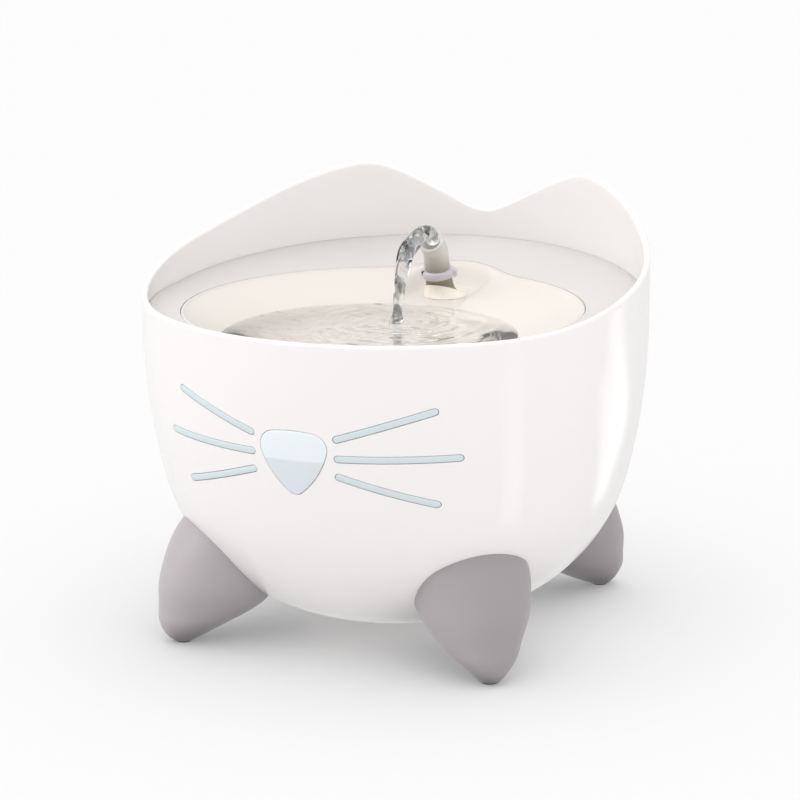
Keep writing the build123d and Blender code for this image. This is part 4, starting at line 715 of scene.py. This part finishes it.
# satin ABS: an even mid grey with a fine moulded texture that spreads reflections into soft sheens
foot_look = finish("satin grey ABS", "#A9A3A5", 0.42, IOR=1.5)
grain(foot_look, 0.5, 0.003)
for foot_name, foot_angle in FOOT_ANGLES.items():
    c, s = math.cos(math.radians(foot_angle)), math.sin(math.radians(foot_angle))
    turn = np.array([(c, s, 0), (-s, c, 0), (0, 0, 1)])
    foot = build(f"foot_{foot_name}", [foot_grid @ turn])
    carve(foot, [screw_hole @ turn])
    smooth(foot, foot_look, 35)
    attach(foot, "bowl")
    if foot_name != "rear_right":
        lit["feet"].objects.link(foot)
    if foot_name.endswith("right"):
        lit["left and front"].objects.link(foot)
        lit["left and front"].collection_objects[-1].light_linking.link_state = "EXCLUDE"
    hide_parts(f"foot_{foot_name}")


# Tray surround: a polypropylene ring that lies on the bowl's ledge, coloured a light grey that is partly
# its own colour and partly painted shade for the shade that falls on it inside the bowl. It is level in
# front; behind the middle its outer edge climbs and it falls inwards to the dish, whose edge it follows
# around the bulge behind the spout.
DISH_FORWARD = 15.6
DISH_RADIUS = 95.6
DISH_LEVEL = 156.2
BULGE = 12.8
BULGE_TURN = math.radians(21.5)
BULGE_RISE = 2.0
TRAY_EDGE = 117.84
TRAY_FLAT = 113.4
TRAY_THICKNESS = 2.2
TRAY_ROUND = 0.35
# the skirt under the ring's inner edge, that the dish hangs in: its depth and its width
SKIRT_DEPTH = 3.5
SKIRT_WIDTH = 1.6
DISH_GAP = 0.16
tray_around = full_turn(360)
tray_cos, tray_sin = np.cos(tray_around), np.sin(tray_around)


def ease(t):
    """Smooth step from 0 to 1 with level ends, for t from 0 to 1."""
    t = np.clip(t, 0, 1)
    return t * t * (3 - 2 * t)


from_back = np.abs((tray_around - np.pi / 2 + np.pi) % (2 * np.pi) - np.pi)
bulge = ease(1 - from_back / BULGE_TURN)
dish_reach = DISH_RADIUS + BULGE * bulge
dish_level = DISH_LEVEL + BULGE_RISE * bulge


def ring_outline(grow):
    """Outline of the dish's edge grown outwards, as x and y for each column."""
    return (dish_reach + grow) * tray_cos, -DISH_FORWARD + (dish_reach + grow) * tray_sin


inner_x, inner_y = ring_outline(DISH_GAP)
turn_out = np.arctan2(inner_y, inner_x)
rim_rows = []
for radius, drop in ((TRAY_FLAT, 0), (TRAY_EDGE - 0.25, 0), (TRAY_EDGE - 0.07, 0.07), (TRAY_EDGE, 0.25)):
    x, y = radius * np.cos(turn_out), radius * np.sin(turn_out)
    rim_rows.append(xyz(x, y, tray_height(y, DISH_LEVEL) - drop))
inner_row = xyz(inner_x, inner_y, dish_level)
shares = np.linspace(0, 1, 22)[:, None, None]
funnel = inner_row * (1 - shares) + rim_rows[0] * shares
top_rows = np.concatenate([funnel, np.stack(rim_rows[1:])])
under = top_rows[::-1].copy()
under[3:, :, 2] = funnel[::-1, :, 2] - TRAY_THICKNESS
under[:3, :, 2] = tray_height(under[:3, :, 1], DISH_LEVEL) - TRAY_THICKNESS
skirt_x, skirt_y = ring_outline(DISH_GAP + SKIRT_WIDTH)
skirt = [
    xyz(skirt_x, skirt_y, dish_level - TRAY_THICKNESS + 0.3),
    xyz(skirt_x, skirt_y, dish_level - SKIRT_DEPTH),
    xyz(inner_x, inner_y, dish_level - SKIRT_DEPTH),
]
first_edge = inner_row - (0, 0, TRAY_ROUND)
rounded = inner_row * 0.995 + rim_rows[0] * 0.005
tray_rows = [first_edge, rounded, *top_rows[1:], *under[:-1], *skirt, first_edge]
tray_surround = build("tray_surround", [np.stack(tray_rows)])
# moulded polypropylene: soft light grey, partly painted shade, with a waxy sheen rather than gloss
tray_shade_look = finish("light grey polypropylene with painted shade", "#CFCBC9", 0.33, IOR=1.49)
grain(tray_shade_look, 0.8, 0.002)
smooth(tray_surround, tray_shade_look, 40)
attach(tray_surround, "tray")
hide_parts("tray_surround")


# Drinking dish: a warm white polypropylene bowl set into the surround, its basin lying towards
# the front, a level shelf for the spout at the back and drain slots just above the water.
DISH_RIM = 1.9
DISH_WALL = 2.4
WATER_LEVEL = 146.2
POOL = (-32.5, 70.0)
BASIN = (-34.0, 56.0, 137.5)
BASIN_FLOOR = (-34.0, 40.0, 133.0)
SHELF_LEVEL = 147.0
SHELF_FLAT = 14.5
SHELF_FLANK = 13.0
SHELF_RISE = 16.0
SHELF_RUN = (40.0, 67.0)
SHELF_BLEND = 3.0
# the spout's hole in the shelf, and the nine drain slots through the front wall
SPOUT_Y = 58.0
SPOUT_HOLE = 6.5
DRAIN_PLACES = 6.0 * (np.arange(9) - 4)
DRAIN_HEIGHT = 148.4
DRAIN_HALF = (1.5, 1.7)
DRAIN_RUN = (-92.0, -116.0)


def dish_rows(inset):
    """Rows of the dish's inner face from the floor to the rim, moved down and outwards by inset:
    level circles whose middle, radius and height pass smoothly through those of the floor, the
    basin, the waterline and the rim, sunk to the spout's shelf at the back."""
    marks_middle = [(0, BASIN_FLOOR[0]), (1, BASIN[0]), (2, POOL[0]), (3, -DISH_FORWARD)]
    marks_radius = [(0, BASIN_FLOOR[1]), (1, BASIN[1]), (2, POOL[1]), (3, DISH_RADIUS - DISH_RIM)]
    marks_height = [(0, BASIN_FLOOR[2]), (1, BASIN[2]), (2, WATER_LEVEL), (3, DISH_LEVEL - 0.7)]
    level = np.linspace(0, 3, 121)[:, None]
    middle = through(level, marks_middle, (0, 20))
    radius = through(level, marks_radius, (18, 27)) + bulge * BULGE * ease(level - 2) + inset
    height = through(level, marks_height, (1.5, 9)) + bulge * BULGE_RISE * ease(level - 2)
    x = radius * tray_cos
    y = middle + radius * tray_sin
    along = np.clip(y, *SHELF_RUN)
    off = np.hypot(x, y - along)
    arch = SHELF_LEVEL + SHELF_RISE * ease((off - SHELF_FLAT) / SHELF_FLANK)
    height = np.where((level > 2) & (y > 20), lower_of(height, arch, SHELF_BLEND), height)
    return xyz(x, y, height - inset)


inside_rows = dish_rows(0.0)
outside_rows = dish_rows(DISH_WALL)
floor_share = np.linspace(0, 1, 12)[:-1, None, None]
floor_middle = np.array([0, BASIN_FLOOR[0], BASIN_FLOOR[2]])
inside_floor = floor_middle + (inside_rows[0] - floor_middle) * floor_share
floor_under = floor_middle - (0, 0, DISH_WALL)
outside_floor = floor_under + (outside_rows[0] - floor_under) * floor_share[::-1]
# the rim, as growth of the dish's edge and height above its level
rim_profile = [(-1.45, -0.15), (-0.95, 0.0), (-0.45, -0.1), (-0.08, -0.45), (0.0, -1.0), (0.0, -3.7)]
rim_profile += [(1.6, -3.7), (1.6, -5.7), (-0.6, -5.7)]
rim_grid = []
for grow, drop in rim_profile:
    x, y = ring_outline(grow)
    rim_grid.append(xyz(x, y, dish_level + drop))
dish_grid = [*inside_floor, *inside_rows, *rim_grid, *outside_rows[:-9][::-1], *outside_floor]
drinking_dish = build("drinking_dish", [np.stack(dish_grid)])
drain_angle = full_turn(32)
drain_x, drain_z = DRAIN_HALF[0] * np.cos(drain_angle), DRAIN_HALF[1] * np.sin(drain_angle)
dish_cutters = [spin([0, SPOUT_HOLE, SPOUT_HOLE, 0], [150, 150, 140, 140], (0, SPOUT_Y), 64)]
for place in DRAIN_PLACES:
    rows = []
    for share, end in ((0, 0), (1, 0), (1, 1), (0, 1)):
        rows.append(xyz(place + share * drain_x, DRAIN_RUN[end], DRAIN_HEIGHT + share * drain_z))
    dish_cutters.append(np.stack(rows))
carve(drinking_dish, dish_cutters)
# polished polypropylene: warm white, smooth and bright, reflecting more softly than the shell
dish_look = finish("warm white polypropylene", "#DCD6CF", 0.2, IOR=1.49)
smooth(drinking_dish, dish_look, 40)
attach(drinking_dish, "tray")
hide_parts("drinking_dish")


# Spout: a flared cream base that turns in the shelf, a short olive rubber neck, a grey collar
# with a lug to turn it by, and a bent tube of translucent silicone.

# radii of the bore, the spigot below, the journal in the shelf's hole and the base above it
BORE = 3.6
SPIGOT = 5.2
JOURNAL = 6.43
BASE_RADIUS = 8.2
# heights of the spigot's end, the journal's end, the seat and the base before its top is sloped
SPIGOT_END = 129.0
JOURNAL_END = 144.1
SEAT = 147.3
FLARE_RISE = 4.7
BASE_HIGH = 156.0
# the foot runs out furthest in one direction, and two slits part the snap tabs in front
FLARE_TURN = math.radians(23.0)
FLARE_ALL_ROUND = 0.4
FLARE_FURTHEST = 3.4
SLIT_TURNS = (-64.0, -105.0)
SLIT_DEPTH = 0.4
SLIT_HALF = 0.45
SLIT_HIGH = 150.2
BASE_SLOPE = math.radians(22.0)
BASE_TOP = 150.5
BASE_BACK = SEAT + 0.15
base_flare = np.linspace(0, 1, 16)
base_r = np.r_[BORE, BORE, SPIGOT, SPIGOT, JOURNAL, JOURNAL, np.full(30, BASE_RADIUS), BORE]
base_z = np.r_[
    [BASE_HIGH, SPIGOT_END, SPIGOT_END, JOURNAL_END, JOURNAL_END, SEAT, SEAT, SEAT - 0.27],
    SEAT - 0.2 + FLARE_RISE * base_flare,
    np.linspace(152.2, BASE_HIGH, 12),
    BASE_HIGH,
]
base_grid = spin(base_r, base_z, (0, SPOUT_Y), 240)
base_turn = np.arctan2(base_grid[..., 1] - SPOUT_Y, base_grid[..., 0])
flare = np.r_[np.zeros(6), 1, 1, (1 - base_flare) ** 1.7, np.zeros(13)][:, None]
growth = flare * (FLARE_ALL_ROUND + FLARE_FURTHEST * (0.5 + 0.5 * np.cos(base_turn - FLARE_TURN)))
slit_rows = base_grid[..., 2] < SLIT_HIGH
for slit_turn in SLIT_TURNS:
    off_slit = BASE_RADIUS * np.sin((base_turn - math.radians(slit_turn)) / 2) * 2
    growth = growth - SLIT_DEPTH * np.exp(-((off_slit / SLIT_HALF) ** 2)) * slit_rows
growth = growth * np.r_[np.zeros(6), np.ones(30), 0][:, None]
base_grid[..., 0] += growth * np.cos(base_turn)
base_grid[..., 1] += growth * np.sin(base_turn)
top_plane = BASE_TOP - math.tan(BASE_SLOPE) * (base_grid[..., 1] - SPOUT_Y)
base_grid[..., 2] = np.minimum(base_grid[..., 2], np.maximum(top_plane, BASE_BACK))
base_grid[0] = base_grid[-1]
spout_base = build("spout_base", [base_grid])
# satin cream ABS: slightly yellow beside the white dish
base_look = finish("satin cream ABS", "#F9F1E6", 0.28, IOR=1.5)
smooth(spout_base, base_look, 40)


def leant(angle):
    """The directions that point up and back once leant forwards by an angle."""
    return xyz(0, -np.sin(angle), np.cos(angle)), xyz(0, np.cos(angle), np.sin(angle))


LEAN = math.radians(13.0)
nozzle_axis, nozzle_back = leant(LEAN)
nozzle_right = np.array([1.0, 0, 0])
COLLAR_HEIGHT = 3.8
collar_middle = np.array([0, 53.6, 159.9])
collar_low = collar_middle - nozzle_axis * COLLAR_HEIGHT / 2
collar_high = collar_middle + nozzle_axis * COLLAR_HEIGHT / 2
spout_turn = full_turn(128)
spout_c, spout_s = np.cos(spout_turn)[:, None], np.sin(spout_turn)[:, None]
nozzle_out = spout_c * nozzle_right + spout_s * nozzle_back
slope_normal, slope_back = leant(-BASE_SLOPE)
slope_out = spout_c * nozzle_right + spout_s * slope_back
NECK_SEAM = 0.05
NECK_LOW = 8.1
NECK_HIGH = 6.7


def neck_ring(share, low_radius, high_radius):
    """Ring of the neck between the base's sloping top and the collar's underside."""
    low_ring = (0, SPOUT_Y, BASE_TOP) + NECK_SEAM * slope_normal + low_radius * slope_out
    high_ring = collar_low - NECK_SEAM * nozzle_axis + high_radius * nozzle_out
    return low_ring * (1 - share) + high_ring * share


neck_rows = [neck_ring(0, BORE, BORE), neck_ring(0, NECK_LOW - 0.2, NECK_HIGH)]
neck_rows.append(neck_ring(0.04, NECK_LOW, NECK_HIGH))
for share in np.linspace(0.1, 1, 9):
    waist = math.sin(math.pi * share)
    neck_rows.append(neck_ring(share, NECK_LOW - 0.9 * waist, NECK_HIGH - 0.3 * waist))
neck_rows += [neck_ring(1, BORE, BORE), neck_ring(0, BORE, BORE)]
spout_neck = build("spout_neck", [np.stack(neck_rows)])
# olive silicone rubber: dull, with a fine tooth that takes the shine off
neck_look = finish("olive silicone rubber", "#8C8672", 0.6)
grain(neck_look, 0.4, 0.01)
smooth(spout_neck, neck_look, 45)

# the collar's lug and notch: direction, depth, half width and width of the flanks
COLLAR_RADIUS = 8.3
LUG = (math.radians(10.0), 1.5, 2.2, 0.8)
NOTCH = (math.radians(216.0), 1.6, 1.7, 0.6)


def stands_out(turn, depth, half, flank):
    """How far a lug stands out at each of the collar's angles: its depth, eased at the flanks."""
    off = COLLAR_RADIUS * np.abs(np.angle(np.exp(1j * (spout_turn - turn))))
    return depth * ease((half - off) / flank)


collar_edge = (stands_out(*LUG) - stands_out(*NOTCH))[:, None]
# its profile as (radius, rise), with a fine groove
collar_profile = [(4.7, 0), (7.6, 0), (8.1, 0.2), (8.3, 0.7), (8.3, 1.2), (8.05, 1.4), (8.3, 1.6)]
collar_profile += [(8.3, 2.8), (8.1, 3.4), (7.6, 3.7), (6.8, 3.8), (4.7, 3.8), (4.7, 0)]
collar_rows = []
for radius, rise in collar_profile:
    grown = radius + collar_edge * (radius > 5)
    collar_rows.append(collar_low + rise * nozzle_axis + grown * nozzle_out)
spout_collar = build("spout_collar", [np.stack(collar_rows)])
# satin ABS ring, lilac-grey, a little shinier than the neck; a near-black spot is painted at its notch as
# painted shade, for the shadowed inside that the notch opens on
collar_look = finish("satin lilac-grey ABS", "#CFC9CD", 0.3, IOR=1.5)
# the notch's painted shade: how far out from the collar's middle it sits, and the distances in metres over
# which it fades to the ring's grey
NOTCH_SHADE_REACH = 7.4
NOTCH_SHADE_FADE = (0.0014, 0.0019)
notch_out = math.cos(NOTCH[0]) * nozzle_right + math.sin(NOTCH[0]) * nozzle_back
notch_shade_place = collar_middle + NOTCH_SHADE_REACH * notch_out
collar_place = add_node(collar_look.node_tree, "TexCoord")
notch_shade_off = add_node(collar_look.node_tree, "VectorMath", Vector=collar_place.outputs["Object"])
notch_shade_off.operation = "DISTANCE"
notch_shade_off.inputs[1].default_value = notch_shade_place * 0.001
tone(collar_look, notch_shade_off.outputs["Value"], *NOTCH_SHADE_FADE, "#1B1A1C", "#CFC9CD")
smooth(spout_collar, collar_look, 40)

# the tube: its bend's radius, its mouth's lean, how far up the bend's corner is and how far the
# mouth is past it, its two radii, and the heights in metres between which it clears
BEND = 10.0
MOUTH_LEAN = math.radians(48.0)
TUBE_RISE = 9.9
MOUTH_RUN = 8.0
TUBE_RADIUS = 6.3
TUBE_BORE = 4.7
TUBE_CLEARS = (0.1605, 0.1700)
cut_back = BEND * math.tan((MOUTH_LEAN - LEAN) / 2)
bend_from = collar_high + nozzle_axis * (TUBE_RISE - cut_back)
bend_middle = bend_from - nozzle_back * BEND
lean_steps = np.linspace(LEAN, MOUTH_LEAN, 12)
straight = collar_high + nozzle_axis * np.linspace(0, TUBE_RISE - cut_back, 8)[:-1, None]
bent = bend_middle + BEND * leant(lean_steps)[1]
mouth_axis, _ = leant(MOUTH_LEAN)
mouth = bent[-1] + mouth_axis * np.linspace(0, MOUTH_RUN - cut_back, 8)[1:, None]
tube_path = np.concatenate([straight, bent, mouth])
tube_lean = np.r_[np.full(7, LEAN), lean_steps, np.full(7, MOUTH_LEAN)]
_, tube_back = leant(tube_lean)


def tube_rings(radius, from_row=0, to_row=None):
    """Rings of that radius square to the tube's path, one for each step along it."""
    middle = tube_path[from_row:to_row, None]
    back = tube_back[from_row:to_row, None]
    return middle + radius * (spout_c[None] * nozzle_right + spout_s[None] * back)


tube_grid = [
    *tube_rings(TUBE_RADIUS, 0, -1),
    *tube_rings(TUBE_RADIUS - 0.1, -1),
    *tube_rings(TUBE_RADIUS - 0.4, -1) + mouth_axis * 0.25,
    *tube_rings(TUBE_BORE + 0.4, -1) + mouth_axis * 0.25,
    *tube_rings(TUBE_BORE)[::-1],
    *tube_rings(TUBE_RADIUS, 0, 1),
]
spout_tube = build("spout_tube", [np.stack(tube_grid)])
# translucent silicone: milky with a green-grey cast that deepens towards the collar, blurring
# what is inside it, with a faintly uneven skin
tube_look = finish("translucent silicone", "#F3F1EA", 0.35, IOR=1.41, Transmission_Weight=0.4)
grain(tube_look, 1.2, 0.02)
fade_up(tube_look, *TUBE_CLEARS, "#BDB8A6", "#F3F1EA")
smooth(spout_tube, tube_look, 45)

spout_pieces = {
    "spout_base": (spout_base, "cream_spout"),
    "spout_neck": (spout_neck, "olive_rubber"),
    "spout_collar": (spout_collar, "grey_collar"),
    "spout_tube": (spout_tube, "clear_tube"),
}
for spout_name, (made, spout_slot) in spout_pieces.items():
    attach(made, "spout")
    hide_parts(spout_name)


# Water: the pool that stands in the dish and the stream that arcs from the spout into it. It is
# the fountain's content, not a piece of it.


def water_look(name, colour, haze):
    """Clear water that bends light as water does, and casts no shadow."""
    made = finish(name, colour, haze, IOR=1.333, Transmission_Weight=1.0)
    clear_where(made, "LightPath", "Is Shadow Ray")
    return made


def streaks(look, size_mm, stretch, pale, dark, share):
    """Paints soft-edged streaks into the water's colour as painted reflections, standing in for its dark
    and bright surroundings seen bent: noise of that size, drawn out along its axes by stretch, above the
    share of it that stays pale."""
    tree = look.node_tree
    place = add_node(tree, "TexCoord")
    thin = [1 / part for part in stretch]
    drawn = add_node(tree, "Mapping", Vector=place.outputs["Object"], Scale=thin)
    fine = 1000.0 / size_mm
    noise = add_node(tree, "TexNoise", Vector=drawn.outputs[0], Scale=fine, Distortion=1.2)
    tone(look, noise.outputs[0], share, share + 0.08, pale, dark)


# rings 8.5 mm apart spread from where the stream lands and die away, crossed by a finer ripple,
# and the water creeps up the dish's wall
LANDING_Y = 0.5
CREEP = 0.45
pool_share = np.linspace(0, 1, 90)[:, None]
pool_x = pool_share * (POOL[1] - 0.15) * tray_cos
pool_y = POOL[0] + pool_share * (POOL[1] - 0.15) * tray_sin
off_landing = np.hypot(pool_x, pool_y - LANDING_Y)
rings = 0.5 * np.cos(2 * np.pi * off_landing / 8.5) * np.exp(-off_landing / 30.0)
rings += 0.3 * np.sin(pool_x / 5.3 + 1.3) * np.sin(pool_y / 4.1) * np.exp(-off_landing / 60.0)
meniscus = CREEP * np.exp(-(1 - pool_share) * POOL[1] / 1.6)
pool_top = xyz(pool_x, pool_y, WATER_LEVEL - CREEP + rings * (1 - pool_share**8) + meniscus)
wet = dish_rows(-0.05)[:80]
wet_floor = floor_middle + (0, 0, 0.05) + (wet[0] - floor_middle - (0, 0, 0.05)) * floor_share
pool = build("pool_water", [np.concatenate([pool_top, wet[::-1], wet_floor[::-1]])])
pool_look = water_look("still water", "#FCFBFA", 0.0)
# painted reflections: soft darker streaks in the pool's colour
streaks(pool_look, 4.0, (3.2, 1.0, 1.0), "#FEFDFC", "#DEDAD3", 0.60)
smooth(pool, pool_look, 60)
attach(pool, "tray")

# the stream's arc: y, height and radius
STREAM = [(46.5, 178.2, 4.1), (41.5, 181.2, 4.2), (35.0, 182.5, 4.3), (28.2, 181.9, 4.3)]
STREAM += [(19.5, 179.5, 4.2), (12.0, 175.2, 3.8), (7.8, 169.3, 3.3), (5.4, 162.0, 2.9)]
STREAM += [(3.0, 154.0, 2.6), (1.4, 149.0, 2.5), (0.7, 146.2, 3.5), (0.6, 144.2, 2.6), (0.6, 143.4, 0.5)]
stream_share = np.linspace(0, 1, 120)
stream_y, stream_z, stream_r = (measure(stream_share, STREAM, column) for column in range(3))
head = np.stack([np.gradient(stream_y), np.gradient(stream_z)], -1)
head /= np.linalg.norm(head, axis=1)[:, None]
stream_place = stream_share[:, None] * path_lengths(STREAM)[-1]
# the section is a little out of round, and what is out of round turns along the stream
stream_angle = full_turn(64)
wobble = 1 + 0.06 * np.sin(2 * stream_angle + stream_place / 6.0)
wobble = wobble + 0.05 * np.sin(3 * stream_angle - stream_place / 3.5)
across = stream_r[:, None] * wobble * np.cos(stream_angle)
upright = stream_r[:, None] * wobble * np.sin(stream_angle)
stream_grid = xyz(
    across, stream_y[:, None] - upright * head[:, 1:], stream_z[:, None] + upright * head[:, :1]
)
caps = [np.repeat(stream_grid[end].mean(0)[None, None], 64, 1) for end in (0, -1)]
stream = build("stream_water", [np.concatenate([caps[0], stream_grid, caps[1]])])
stream_look = water_look("falling water", "#F2F2F0", 0.02)
# painted reflections: dark grey streaks in the falling water's colour
streaks(stream_look, 4.5, (1.0, 1.6, 2.6), "#F4F4F2", "#8E9296", 0.48)
smooth(stream, stream_look, 70)
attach(stream, "spout")


# Working parts that stay as constructed: the pump, the filter, the light unit, the riser, the
# inlet, the cables and the fixings, each in the material that its slot names.

# name, colour, roughness, metallic, and size and depth of the grain in millimetres
KEPT_FINISHES = {
    # dull, very dark grey
    "soft_rubber": ("soft black rubber", "#2E2E30", 0.7, 0, 0.3, 0.01),
    # a clean metal with fine turning lines
    "steel_screws": ("turned steel", "#B4B4B8", 0.3, 1, 0.15, 0.003),
    # a fine spark-eroded texture that softens the shine
    "black_plastic": ("satin black ABS", "#1C1C1E", 0.45, 0, 0.4, 0.006),
    # smooth dark green over glass fibre
    "green_board": ("green solder mask", "#1E4D2E", 0.35, 0, 0, 0),
    # clear and slightly yellow
    "lamp": ("lamp resin", "#F2E9B8", 0.15, 0, 0, 0),
    # satin white of the inner parts
    "white_inner_plastic": ("white polypropylene", "#E2E2DF", 0.38, 0, 0.8, 0.003),
    # dark and dull, like fired clay
    "ferrite": ("sintered ferrite", "#3A3A3E", 0.5, 0, 0.2, 0.01),
    # smooth and bone white
    "bush_ceramic": ("ground ceramic", "#E6E2DA", 0.25, 0, 0, 0),
    # windings that catch the light one by one
    "copper": ("enamelled copper", "#C9703F", 0.28, 1, 0.5, 0.05),
    # glassy black where it was poured
    "potting": ("cast epoxy", "#151516", 0.12, 0, 0, 0),
    # soft, fibrous and uneven
    "filter_cotton": ("felted cotton", "#EDEDE8", 0.95, 0, 1.5, 0.4),
    # granules behind a mesh
    "filter_carbon": ("activated carbon", "#202022", 0.75, 0, 1.2, 0.5),
    # smooth, with a soft shine
    "cable": ("black PVC jacket", "#202022", 0.4, 0, 0, 0),
}
SLOT_LOOKS = {}
for slot_name, (look_name, colour, rough, metal, grain_size, grain_depth) in KEPT_FINISHES.items():
    SLOT_LOOKS[slot_name] = finish(look_name, colour, rough, Metallic=metal)
    if grain_size:
        grain(SLOT_LOOKS[slot_name], grain_size, grain_depth)
new_pieces = {"outer_shell", "nose_lens", "tray_surround", "drinking_dish", *spout_pieces}
new_pieces |= {name for name in frame["nodes"] if name.startswith("whisker_")}
new_pieces |= {f"foot_{name}" for name in FOOT_ANGLES}
for subpart in frame["record"]["subparts"]:
    if subpart["node"] not in new_pieces:
        kept = frame["nodes"][subpart["node"]]
        for place in range(max(1, len(kept.material_slots))):
            if not kept.material_slots:
                kept.data.materials.append(None)
            kept.material_slots[place].material = SLOT_LOOKS[subpart["material_slot"]]
